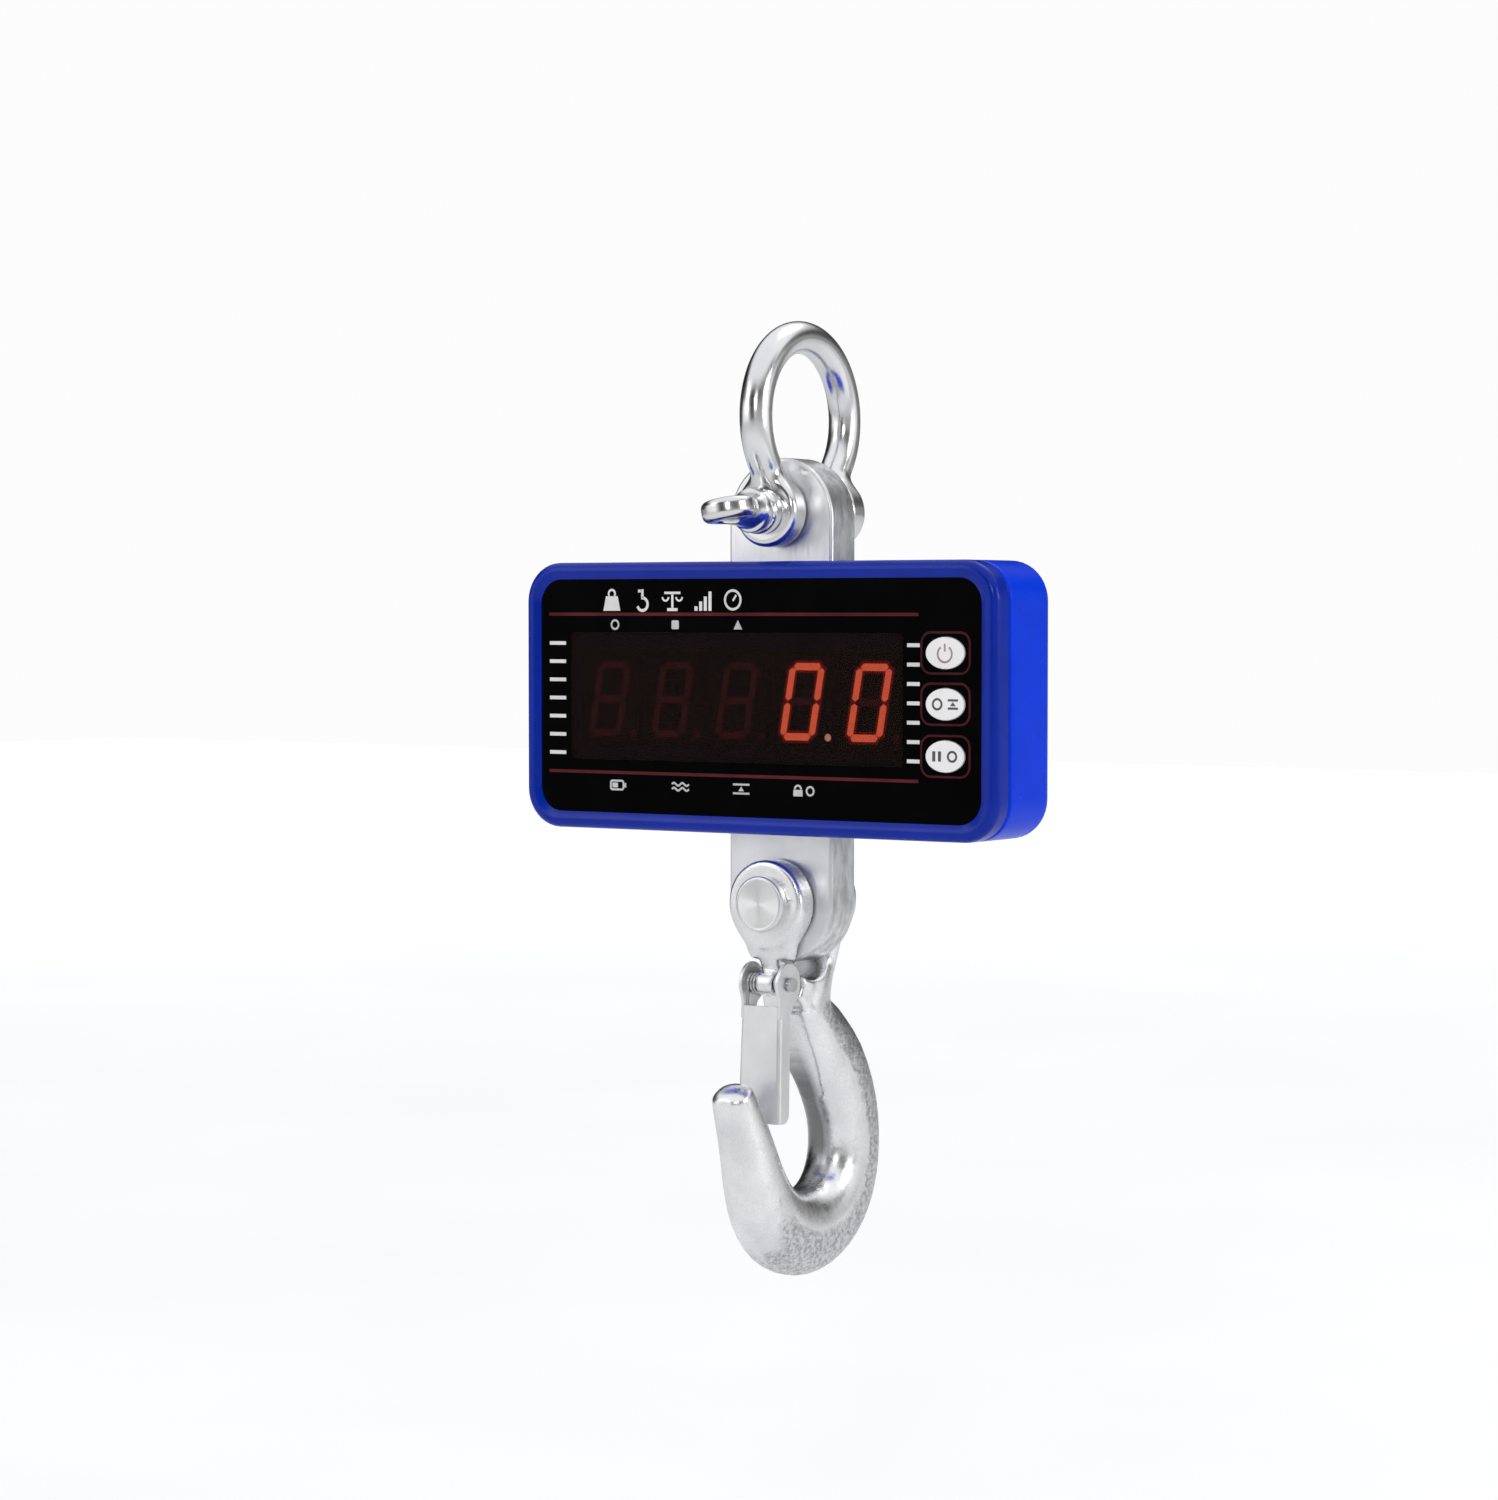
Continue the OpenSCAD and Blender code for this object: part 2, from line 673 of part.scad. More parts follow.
module battery_holder() {
    x0 = battery_x - battery_len / 2 - 2;
    len = battery_len + 4;
    base_t = 1.9;
    flange_x0 = holder_screw_x[0] - 3;
    flange_len = holder_screw_x[1] - holder_screw_x[0] + 6;
    color("dimgray")
    difference() {
        union() {
            translate([x0, battery_y, case_z - 21]) cube([len, rear_inner_y - battery_y, 42]);
            translate([flange_x0, rear_inner_y - base_t, case_z - 8]) cube([flange_len, base_t, 16]);
        }
        for (dz = battery_z)
            translate([0, battery_y, case_z + dz]) rod_x(battery_r + 0.1, x0 + 1.9, x0 + len - 1.9);
        for (x = holder_screw_x)
            translate([x, 0, case_z]) rod_y(small_screw_r + 0.15, battery_y, rear_y);
    }
}

module holder_screws() {
    color("silver")
    for (x = holder_screw_x)
        translate([x, 0, case_z]) {
            rod_y(2.2, rear_inner_y - 3.4, rear_inner_y - 1.9);
            rod_y(small_screw_r, rear_inner_y - 2, rear_inner_y + 1.6);
        }
}

// Flat two-core lead behind the load cell.
module battery_lead() {
    x0 = holder_screw_x[1] + 3;
    color("firebrick")
    translate([x0, rear_inner_y - 2.1, case_z - 15]) cube([36 - x0, 1.6, 4.6]);
}

module charging_socket() {
    x0 = -case_w / 2 + 0.1;
    color("black")
    translate([0, socket_y, socket_z]) {
        difference() {
            union() {
                rod_x(socket_flange_r, x0, x0 + socket_flange_t);
                rod_x(socket_r, x0, x0 + socket_l);
            }
            rod_x(2.9, x0 - overrun, x0 + 10);
        }
        rod_x(1, x0 + 1.5, x0 + 11);
    }
}

module socket_nut() {
    color("silver")
    translate([0, socket_y, socket_z])
    difference() {
        translate([socket_boss_x, 0, 0]) rotate([0, 90, 0]) cylinder(r = 8, h = 2.6, $fn = 6);
        rod_x(socket_r + 0.02, socket_boss_x - overrun, socket_boss_x + 4);
    }
}

// ---------- hook ----------

// Outline of the fork seen from the side; s = -1 is the front arm, s = 1 the rear arm.
module fork_arm_side(s) {
    out = s < 0 ? fork_front_out : fork_rear_out;
    mirror([s < 0 ? 1 : 0, 0])
        polygon([[fork_in, -6], [out - 0.7, -6], [out - 1.6, -17], [15.2, -26], [12.4, -30],
                 [10.4, -36], [4, -41], [-2, -41], [-2, -fork_slot_depth], [fork_in, -fork_slot_depth]]);
}

// Outline of a fork arm seen from the front.
module fork_arm_front(waist) {
    polygon([[-16, -6], [-13.4, -13], [-waist, -25], [-waist, -42],
             [waist, -42], [waist, -25], [13.4, -13], [16, -6]]);
}

module hook() {
    lug_z = pivot_z - lower_pin_z;
    arm_waist = [8.1, 10.4];
    color("lightgray")
    translate([0, cell_y, lower_pin_z])
    difference() {
        union() {
            forged_limb(hook_stations, 2, 16);
            for (i = [0, 1])
                intersection() {
                    across(-17, 17) fork_arm_side(2 * i - 1);
                    deep(-30, 30) fork_arm_front(arm_waist[i]);
                }
            rod_y(fork_ear_r, -fork_front_out, -fork_in);
            rod_y(fork_ear_r, fork_in, fork_rear_out);
            // Lug that carries the latch.
            translate([0, pivot_y, lug_z]) rod_x(5, -lug_half_w, lug_half_w);
            translate([-lug_half_w, pivot_y, lug_z - 5]) cube([2 * lug_half_w, 12, 10]);
        }
        rod_y(hook_pin_d / 2 + 0.05, -40, 40);
        translate([0, pivot_y, lug_z]) rod_x(latch_rivet_r + 0.02, -20, 20);
    }
}

module hook_pin() {
    color("gainsboro")
    translate([0, cell_y, lower_pin_z])
    difference() {
        union() {
            rod_y(hook_pin_d / 2, -fork_front_out - 1, hook_pin_end_y);
            rod_y(hook_head_r, -fork_front_out - hook_head_t, -fork_front_out);
        }
        translate([0, split_pin_y, -20]) cylinder(r = 1.7, h = 40);
    }
}

module pin_washer() {
    color("silver")
    translate([0, cell_y, lower_pin_z])
    difference() {
        rod_y(13, fork_rear_out, fork_rear_out + washer_t);
        rod_y(hook_pin_d / 2 + 0.2, fork_rear_out - overrun, fork_rear_out + washer_t + overrun);
    }
}

// Split pin: an eye above, a straight shank and two legs bent apart below.
module split_pin() {
    eye_r = 3;
    wire_r = 0.8;
    color("gray")
    translate([0, cell_y + split_pin_y, lower_pin_z]) {
        translate([0, 0, -9]) cylinder(r = 1.5, h = 18.5);
        translate([0, 0, 8.6 + eye_r]) rotate([90, 0, 0]) rotate_extrude() translate([eye_r, 0]) circle(r = wire_r);
        for (s = [-1, 1])
            translate([0, 0, -8.6]) rotate([0, s * 115, 0]) cylinder(r = wire_r, h = 7);
    }
}

module latch_rivet() {
    color("gray")
    translate([0, cell_y + pivot_y, pivot_z]) {
        rod_x(latch_rivet_r, -latch_w / 2 - 0.5, latch_w / 2 + 0.5);
        for (s = [-1, 1])
            translate([s * (latch_w / 2 + 0.7), 0, 0]) rod_x(2.9, -0.6, 0.6);
    }
}

// ---------- latch ----------

module latch() {
    head_r = 8.6;
    front = -6.2;
    flange = 7.4;
    corner = 4;
    side_t = latch_sheet_t;
    color("whitesmoke")
    translate([0, cell_y + pivot_y, pivot_z]) rotate([-latch_lean, 0, 0])
    difference() {
        union() {
            for (s = [0, 1])
                mirror([s, 0, 0])
                translate([latch_w / 2 - side_t, 0, 0]) across(0, side_t) {
                    circle(r = head_r);
                    translate([front, -latch_length + corner]) square([flange, latch_length - corner - 2]);
                    translate([front, -latch_length]) square([flange - corner, latch_length - 2]);
                    translate([front + flange - corner, -latch_length + corner]) circle(r = corner);
                    polygon([[front + 1, -3], [5.5, -5], [front + flange, -14], [front + 1, -14]]);
                }
            translate([-latch_w / 2, front, -latch_length]) cube([latch_w, side_t, latch_length - 9]);
        }
        rod_x(latch_rivet_r + running_gap, -latch_w, latch_w);
    }
}

// Torsion spring: a coil on each side of the lug, with a leg on the neck and one down the latch.
module latch_spring() {
    wire_r = 0.6;
    coil_r = 3.9;
    coil_x0 = 4.8;
    coil_x1 = 8;
    step = 22.5;
    steps = 36;
    coil = [for (i = [0 : steps])
        let (a = 90 + step * i)
        [coil_x0 + (coil_x1 - coil_x0) * i / steps, coil_r * cos(a), coil_r * sin(a)]];
    path = concat([[coil_x0, 2.8, coil_r]], coil, [[coil_x1, -coil_r, -14]]);
    color("gray")
    translate([0, cell_y + pivot_y, pivot_z])
        for (s = [0, 1]) mirror([s, 0, 0]) wire(path, wire_r, 8);
}

shackle_bow();
shackle_pin();
load_cell();
gauge_covers();
cell_screws();
cell_spacer();
front_frame();
rear_case();
case_seal();
case_screws();
top_seal();
bottom_seal();
front_panel();
panel_gasket();
display_filter();
display_board();
led_digit_1();
led_digit_2();
led_digit_3();
led_digit_4();
led_digit_5();
indicator_leds();
key_switches();
display_board_screws();
main_board();
main_board_screws();
sensor_cable();
battery_cells();
battery_holder();
holder_screws();
battery_lead();
charging_socket();
socket_nut();
power_key();
zero_key();
hold_key();
hook();
hook_pin();
pin_washer();
split_pin();
latch_rivet();
latch_spring();
latch();
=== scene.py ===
"""Looks of a hanging crane scale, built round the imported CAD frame. Lengths in the code are millimetres."""

import json
import math

import bmesh
import bpy
import numpy as np
from mathutils import Matrix, Vector


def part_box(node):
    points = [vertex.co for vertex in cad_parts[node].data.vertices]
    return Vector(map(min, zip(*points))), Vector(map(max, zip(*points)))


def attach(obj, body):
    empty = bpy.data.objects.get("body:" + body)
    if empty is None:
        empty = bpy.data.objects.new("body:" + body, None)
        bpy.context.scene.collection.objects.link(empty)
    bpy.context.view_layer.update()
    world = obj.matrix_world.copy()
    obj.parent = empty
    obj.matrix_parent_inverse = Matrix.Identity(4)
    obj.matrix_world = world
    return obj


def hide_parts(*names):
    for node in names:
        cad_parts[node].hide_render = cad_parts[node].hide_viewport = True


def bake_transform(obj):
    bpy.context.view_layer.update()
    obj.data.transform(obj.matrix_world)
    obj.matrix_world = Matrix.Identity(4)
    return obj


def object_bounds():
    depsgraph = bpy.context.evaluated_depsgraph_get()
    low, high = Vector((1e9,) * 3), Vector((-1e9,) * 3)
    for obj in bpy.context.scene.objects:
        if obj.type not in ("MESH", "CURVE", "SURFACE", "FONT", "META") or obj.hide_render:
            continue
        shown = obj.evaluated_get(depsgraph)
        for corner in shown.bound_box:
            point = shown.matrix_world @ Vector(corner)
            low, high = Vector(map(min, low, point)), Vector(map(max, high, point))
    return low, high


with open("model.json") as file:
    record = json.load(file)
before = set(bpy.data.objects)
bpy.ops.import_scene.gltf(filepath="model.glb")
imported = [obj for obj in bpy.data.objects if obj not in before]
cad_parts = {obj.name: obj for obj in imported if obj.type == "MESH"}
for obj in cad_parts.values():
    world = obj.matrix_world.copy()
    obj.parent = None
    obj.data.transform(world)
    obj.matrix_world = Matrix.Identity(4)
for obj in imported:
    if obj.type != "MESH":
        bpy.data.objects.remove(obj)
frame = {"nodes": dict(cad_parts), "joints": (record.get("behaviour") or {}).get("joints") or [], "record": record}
cad_lo, cad_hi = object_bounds()
MM = 0.001


def box(node):
    lo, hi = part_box(node)
    return np.array(lo) / MM, np.array(hi) / MM


JOINTS = {j["name"]: np.array(j.get("pos_m", (0, 0, 0))) / MM for j in frame["joints"]}
PIN_Z = JOINTS["shackle_swing"][2]
HOOK_Y, HOOK_Z = JOINTS["hook_swing"][1:]
LATCH_Y, LATCH_Z = JOINTS["latch_hinge"][1:]
CELL_LO, CELL_HI = box("load_cell")
CELL_Y = (CELL_LO[1] + CELL_HI[1]) / 2
PANEL_LO, PANEL_HI = box("front_panel")
FACE_Y = PANEL_LO[1]
CASE_Z = (PANEL_LO[2] + PANEL_HI[2]) / 2
FRAME_LO, FRAME_HI = box("front_frame")
REAR_LO, REAR_HI = box("rear_case")
CASE_W, CASE_H = REAR_HI[0] - REAR_LO[0], REAR_HI[2] - REAR_LO[2]
KEYS = "power_key", "zero_key", "hold_key"


def add_object(name, data):
    made = bpy.data.objects.new(name, data)
    bpy.context.scene.collection.objects.link(made)
    return made


# ---------------------------------------------------------------- camera
YAW, PITCH = 0.594515, 0.037607  # radians
CAMERA_AT = (841.23, CELL_Y - 1275.67, -104.23)
ca, sa, ce, se = math.cos(YAW), math.sin(YAW), math.cos(PITCH), math.sin(PITCH)
back = Vector((sa * ce, -ca * ce, se))
right = Vector((ca, sa, 0))
up = back.cross(right)
camera = add_object("camera", bpy.data.cameras.new("camera"))
camera.matrix_world = Matrix.Translation(Vector(CAMERA_AT) * MM) @ Matrix(
    (
        (right.x, up.x, back.x, 0),
        (right.y, up.y, back.y, 0),
        (right.z, up.z, back.z, 0),
        (0, 0, 0, 1),
    )
)
camera.data.sensor_width = 36
camera.data.lens = 89.85
camera.data.clip_start, camera.data.clip_end = 0.05, 60
bpy.context.scene.camera = camera
bpy.context.scene.view_settings.view_transform = "Standard"


# ---------------------------------------------------------------- materials
class Nodes:
    """Short names for the nodes of one tree."""

    def __init__(self, tree, coordinates):
        self.tree = tree
        self.where = self.node("ShaderNodeTexCoord").outputs[coordinates]

    def node(self, kind, **settings):
        made = self.tree.nodes.new(kind)
        for key, value in settings.items():
            setattr(made, key, value)
        return made

    def link(self, a, b):
        self.tree.links.new(a, b)

    def noise(self, scale, detail=4.0, rough=0.55, stretch=(1, 1, 1)):
        at = self.where
        if stretch != (1, 1, 1):
            mapping = self.node("ShaderNodeMapping")
            mapping.inputs["Scale"].default_value = stretch
            self.link(at, mapping.inputs["Vector"])
            at = mapping.outputs["Vector"]
        noise = self.node("ShaderNodeTexNoise")
        noise.inputs["Scale"].default_value = scale
        noise.inputs["Detail"].default_value = detail
        noise.inputs["Roughness"].default_value = rough
        self.link(at, noise.inputs["Vector"])
        return noise.outputs["Fac"]

    def ramp(self, value, low, high, start=0.35, end=0.65):
        ramp = self.node("ShaderNodeValToRGB")
        stops = ramp.color_ramp.elements
        stops[0].position, stops[1].position = start, end
        stops[0].color, stops[1].color = (*low, 1), (*high, 1)
        self.link(value, ramp.inputs["Fac"])
        return ramp.outputs["Color"]

    def steps(self, value, stops):
        """Grey levels along a value, eased between the stops."""
        ramp = self.node("ShaderNodeValToRGB")
        ramp.color_ramp.interpolation = "EASE"
        ends = ramp.color_ramp.elements
        while len(ends) < len(stops):
            ends.new(0.5)
        for stop, (at, _) in zip(ends, stops):
            stop.position = at
        for stop, (_, level) in zip(ends, stops):
            stop.color = (level, level, level, 1)
        self.link(value, ramp.inputs["Fac"])
        return ramp.outputs["Color"]

    def span(self, value, low, high, start=0.3, end=0.7, **settings):
        out = self.node("ShaderNodeMapRange", **settings)
        for key, number in (("From Min", start), ("From Max", end), ("To Min", low), ("To Max", high)):
            out.inputs[key].default_value = number
        self.link(value, out.inputs["Value"])
        return out.outputs["Result"]

    def math(self, operation, *values):
        out = self.node("ShaderNodeMath", operation=operation)
        for value, socket in zip(values, out.inputs):
            if isinstance(value, (int, float)):
                socket.default_value = value
            else:
                self.link(value, socket)
        return out.outputs["Value"]

    def mix(self, factor, a, b, blend="MIX"):
        mixer = self.node("ShaderNodeMix", data_type="RGBA", blend_type=blend)
        for value, key in ((factor, "Factor"), (a, "A"), (b, "B")):
            socket = mixer.inputs[key]
            if isinstance(value, (tuple, list)):
                socket.default_value = (*value, 1)
            elif isinstance(value, (int, float)):
                socket.default_value = value
            else:
                self.link(value, socket)
        return mixer.outputs["Result"]


class Paint(Nodes):
    """A node material: sockets are set through nodes that vary over the surface."""

    def __init__(self, name, **values):
        self.material = bpy.data.materials.new(name)
        self.material.use_nodes = True
        super().__init__(self.material.node_tree, "Object")
        self.shader = self.tree.nodes["Principled BSDF"]
        for key, value in values.items():
            self.shader.inputs[key.replace("_", " ")].default_value = value

    def mark(self, name):
        """A number that the mesh holds at each point."""
        return self.node("ShaderNodeAttribute", attribute_name=name).outputs["Fac"]

    def colour(self, value):
        self.link(value, self.shader.inputs["Base Color"])
        return self

    def rough(self, value):
        self.link(value, self.shader.inputs["Roughness"])
        return self

    def bump(self, value, strength, distance):
        bump = self.node("ShaderNodeBump")
        bump.inputs["Strength"].default_value = strength
        bump.inputs["Distance"].default_value = distance
        self.link(value, bump.inputs["Height"])
        self.link(bump.outputs["Normal"], self.shader.inputs["Normal"])
        return self


def srgb(r, g, b):
    return tuple((c / 255 / 12.92 if c < 10.3 else ((c / 255 + 0.055) / 1.055) ** 2.4) for c in (r, g, b))


def scaled(colour, by):
    return tuple(by * c for c in colour)


def metal(name, low, high, rough, grain=900, bump=0.15, stretch=(1, 1, 1)):
    p = Paint(name, Metallic=1.0)
    p.colour(p.ramp(p.noise(45, 5), low, high))
    p.rough(p.span(p.noise(grain, 3, 0.6, stretch), *rough))
    return p.bump(p.noise(grain, 3, 0.6, stretch), bump, 0.0001)


def plastic(name, low, high, rough, grain=1200, bump=0.1, specular=0.5):
    p = Paint(name, Specular_IOR_Level=specular)
    p.colour(p.ramp(p.noise(60, 4), low, high))
    p.rough(p.span(p.noise(140, 4), *rough))
    return p.bump(p.noise(grain, 2), bump, 0.00008)


def glow(name, colour, strength):
    p = plastic(name, scaled(colour, 0.5), colour, (0.4, 0.5))
    p.link(p.ramp(p.noise(400, 2), scaled(colour, 0.9), colour), p.shader.inputs["Emission Color"])
    p.shader.inputs["Emission Strength"].default_value = strength
    return p


def forged_zinc():
    """Zinc-plated forging: satin where ground, mottled where "raw" is high, and near black where the second mark
    is high: painted shade for the hook's inner bore.
    """
    p = Paint("forged_zinc", Metallic=1.0)
    lumps = p.noise(520, 6, 0.65)
    mask = p.span(p.math("MULTIPLY_ADD", p.noise(160, 3), 0.7, p.mark("raw")), 0.0, 1.0, 0.72, 0.98)
    mottle = p.math("MULTIPLY", mask, p.span(lumps, 0.25, 1.0, 0.42, 0.6))
    base = p.ramp(p.noise(55, 4), (0.77, 0.775, 0.78), (0.89, 0.89, 0.895))
    skin_colour = p.mix(mottle, base, (0.38, 0.39, 0.40))
    # Painted shade: the inner bore is mixed towards near black, standing in for its shade and dark reflections.
    p.colour(p.mix(p.span(p.mark("throat_shade"), 0.0, 0.85, 0.0, 1.0), skin_colour, (0.085, 0.088, 0.092)))
    p.rough(p.span(p.noise(260, 4), 0.22, 0.34))
    height = p.math("MULTIPLY_ADD", lumps, mask, p.span(p.noise(1400, 2), 0.0, 0.015))
    return p.bump(height, 0.55, 0.0005)


def plate_paint_with_shaded_sides():
    """Zinc-plated bar: a fine vertical grain on the faces; on the sides, where the mark "cut" is high, darker
    streaky grain and painted shade.
    """
    p = Paint("zinc_plate", Metallic=1.0)
    face = p.ramp(p.noise(45, 5), (0.74, 0.745, 0.75), (0.83, 0.83, 0.835))
    # Painted shade: the sides are darker than the faces, with a streaky grain.
    side = p.ramp(p.noise(220, 5, 0.65, (1, 1, 0.35)), (0.50, 0.505, 0.51), (0.74, 0.745, 0.75), 0.4, 0.6)
    p.colour(p.mix(p.mark("cut"), face, side))
    p.rough(p.span(p.noise(700, 3, 0.6, (1, 1, 0.12)), 0.3, 0.42))
    return p.bump(p.noise(600, 3, 0.6, (1, 1, 0.12)), 0.15, 0.0001)


BLUE = (0.0008, 0.044, 0.73)
STEEL = (0.72, 0.72, 0.73), (0.82, 0.82, 0.82)
METALS = (
    # name, dark and light tone, roughness, grain size, bump, stretch
    ("plated_steel", *STEEL, (0.17, 0.23), 500, 0.05),
    ("turned_steel", *STEEL, (0.28, 0.34), 500, 0.02),
    ("latch_sheet", (0.72, 0.725, 0.73), (0.82, 0.82, 0.825), (0.3, 0.42), 800, 0.1, (1, 1, 0.2)),
    ("hardware_steel", (0.45, 0.46, 0.47), (0.62, 0.63, 0.64), (0.25, 0.4), 900),
)
PLASTICS = (
    # name, dark and light tone, roughness, grain size, bump, specular level
    ("blue_paint", scaled(BLUE, 0.92), BLUE, (0.2, 0.28), 700, 0.08, 0.1),
    # The front frame's paint is the blue at under half its brightness: painted shade for the frame's front.
    ("rim_paint", scaled(BLUE, 0.43), scaled(BLUE, 0.48), (0.17, 0.24), 700, 0.08, 0.2),
    ("panel_black", (0.0008, 0.0008, 0.001), (0.0016, 0.0015, 0.0018), (0.16, 0.24), 900, 0.04, 0.015),
    ("filter_red", (0.006, 0.0022, 0.0016), (0.0085, 0.003, 0.0021), (0.25, 0.34), 900, 0.03, 0.05),
    ("led_body", (0.011, 0.0036, 0.003), (0.015, 0.0045, 0.0035), (0.5, 0.65)),
    ("led_lens", (0.5, 0.08, 0.04), (0.7, 0.13, 0.07), (0.2, 0.3)),
    ("board_green", (0.02, 0.14, 0.06), (0.035, 0.22, 0.10), (0.35, 0.5)),
    ("key_white", (0.90, 0.88, 0.885), (0.95, 0.94, 0.94), (0.38, 0.5), 1500, 0.06),
    ("seal_rubber", (0.012, 0.012, 0.013), (0.022, 0.022, 0.024), (0.6, 0.8), 1600, 0.25),
    ("dark_plastic", (0.02, 0.02, 0.023), (0.035, 0.035, 0.04), (0.45, 0.6), 1100, 0.2),
    ("cell_wrap", (0.13, 0.07, 0.35), (0.19, 0.11, 0.46), (0.3, 0.42)),
)
MATT = (0.4, 0.55)
INKS = (
    ("print_white", (0.70, 0.70, 0.70), (0.84, 0.84, 0.84), MATT),
    ("print_grey", (0.50, 0.50, 0.50), (0.64, 0.64, 0.64), MATT),
    ("print_red", srgb(80, 30, 37), srgb(98, 37, 45), MATT, 1200, 0.1, 0.05),
    ("print_dark_red", srgb(62, 23, 30), srgb(78, 29, 37), MATT, 1200, 0.1, 0.05),
    ("key_ink", (0.05, 0.045, 0.05), (0.09, 0.085, 0.09), MATT),
    ("key_ink_rose", (0.30, 0.20, 0.21), (0.40, 0.27, 0.28), MATT),
)
GLOWS = (
    # name, colour, strength
    ("segment_lit", (0.8, 0.115, 0.055), 10.0),
    ("segment_halo", (0.5, 0.02, 0.01), 1.8),
    # Unlit segments glow faintly: painted light for the light their faces give back through the red filter.
    ("segment_ghost", (0.18, 0.024, 0.022), 1.35),
    ("point_lit", (0.62, 0.27, 0.18), 9.0),
)
PAINTS = {"zinc_plate": plate_paint_with_shaded_sides(), "zinc_forging": forged_zinc()}
for make, rows in ((metal, METALS), (plastic, PLASTICS + INKS), (glow, GLOWS)):
    for row in rows:
        PAINTS[row[0]] = make(*row)
turned, window = PAINTS["turned_steel"], PAINTS["filter_red"]
turned.shader.inputs["Anisotropic"].default_value = 0.85
lay = turned.node("ShaderNodeTangent", direction_type="RADIAL", axis="Y")
turned.link(lay.outputs[0], turned.shader.inputs["Tangent"])
window.shader.inputs["Alpha"].default_value = 0.75
window.material.surface_render_method = "BLENDED"

slot_of = {s["node"]: s["material_slot"] for s in frame["record"]["subparts"]}
for name, node in frame["nodes"].items():
    node.data.materials.clear()
    node.data.materials.append(PAINTS[slot_of[name]].material)


# ---------------------------------------------------------------- mesh helpers
def piece(name, shape, paint, body, replaces=(), sharp=35, slot=None):
    """Makes an object from points in millimetres and faces. Edges bent by more than sharp degrees stay crisp.

    The slot argument is not used. A piece with no body is left unattached.
    """
    verts, faces = shape
    slot = slot or paint
    mesh = bpy.data.meshes.new(name)
    mesh.from_pydata((np.asarray(verts, float) * MM).tolist(), [], faces)
    mesh.materials.append(PAINTS[paint].material)
    bm = bmesh.new()
    bm.from_mesh(mesh)
    bmesh.ops.remove_doubles(bm, verts=bm.verts, dist=1e-7)
    bmesh.ops.recalc_face_normals(bm, faces=bm.faces)
    for f in bm.faces:
        f.smooth = True
    for e in bm.edges:
        e.smooth = len(e.link_faces) == 2 and e.calc_face_angle(0) < math.radians(sharp)
    bm.to_mesh(mesh)
    bm.free()
    made = add_object(name, mesh)
    if body:
        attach(made, body)
    if replaces:
        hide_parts(*replaces)
    return made


def clipped(shape, lo, hi):
    """Keeps a shape inside its CAD box."""
    return np.clip(shape[0], lo, hi), shape[1]


def weigh(obj):
    """Lets the large flat faces set the shading, so only the rounded edges curve."""
    obj.modifiers.new("weights", "WEIGHTED_NORMAL").keep_sharp = True
    return obj


def write_mark(obj, name, values):
    """Stores a number at each point, for Paint.mark to read."""
    obj.data.attributes.new(name, "FLOAT", "POINT").data.foreach_set("value", values.astype(np.float32))


def loft(rings, closed=False):
    """Joins rings of equal length with quads; closes them into a loop or caps the ends."""
    n, m = len(rings[0]), len(rings)
    verts = [p for ring in rings for p in ring]
    faces = []
    for i in range(m if closed else m - 1):
        a, b = i * n, (i + 1) % m * n
        faces += [(a + k, a + (k + 1) % n, b + (k + 1) % n, b + k) for k in range(n)]
    if not closed:
        faces += [tuple(range(n - 1, -1, -1)), tuple(range((m - 1) * n, m * n))]
    return verts, faces


def rounded_ring(w, h, r, y, cx=0.0, cz=0.0, steps=10):
    """Rounded rectangle in the plane Y = y."""
    r = max(min(r, w / 2 - 0.01, h / 2 - 0.01), 0.01)
    ring = []
    for quarter, (sx, sz) in enumerate(((1, 1), (-1, 1), (-1, -1), (1, -1))):
        for k in range(steps + 1):
            a = math.pi / 2 * (quarter + k / steps)
            x, z = sx * (w / 2 - r) + r * math.cos(a), sz * (h / 2 - r) + r * math.sin(a)
            ring.append((cx + x, y, cz + z))
    return ring


def arc(c0, c1, r0, r1, a0, a1, steps):
    """Points of an elliptic arc in any two coordinates, angles in degrees."""
    angles = [math.radians(a0 + (a1 - a0) * k / steps) for k in range(steps + 1)]
    return [(c0 + r0 * math.cos(a), c1 + r1 * math.sin(a)) for a in angles]


def plate(outline, x0, x1, bevel, axis=0):
    """Slab with an outline drawn in the other two coordinates and rounded edges."""
    pts = np.array(outline, float)
    ahead, behind = np.roll(pts, -1, 0) - pts, pts - np.roll(pts, 1, 0)
    normal = np.stack([ahead[:, 1] + behind[:, 1], -ahead[:, 0] - behind[:, 0]], 1)
    normal /= np.maximum(np.linalg.norm(normal, axis=1), 1e-9)[:, None]
    area = 0.5 * np.sum(pts[:, 0] * np.roll(pts[:, 1], -1) - np.roll(pts[:, 0], -1) * pts[:, 1])
    normal *= 1 if area > 0 else -1
    rings = []
    for at, sign in ((x0, 1), (x1, -1)):
        level = []
        for k in range(5):
            a = math.pi / 2 * k / 4
            level.append((bevel * (1 - math.sin(a)), at + sign * bevel * (1 - math.cos(a))))
        rings += level if sign > 0 else level[::-1]
    made = []
    for inset, x in rings:
        p = pts - normal * inset
        made.append([(x, a, b) if axis == 0 else (a, x, b) for a, b in p])
    return loft(made)


def ellipse_ring(cx, cz, w, h, y, steps=56):
    angles = [2 * math.pi * k / steps for k in range(steps)]
    return [(cx + w / 2 * math.cos(a), y, cz + h / 2 * math.sin(a)) for a in angles]


def lathe_y(profile, cx, cz, steps=64):
    """Turns a profile of radius and Y round a line parallel to Y."""
    return loft([ellipse_ring(cx, cz, 2 * r, 2 * r, y, steps) for r, y in profile])


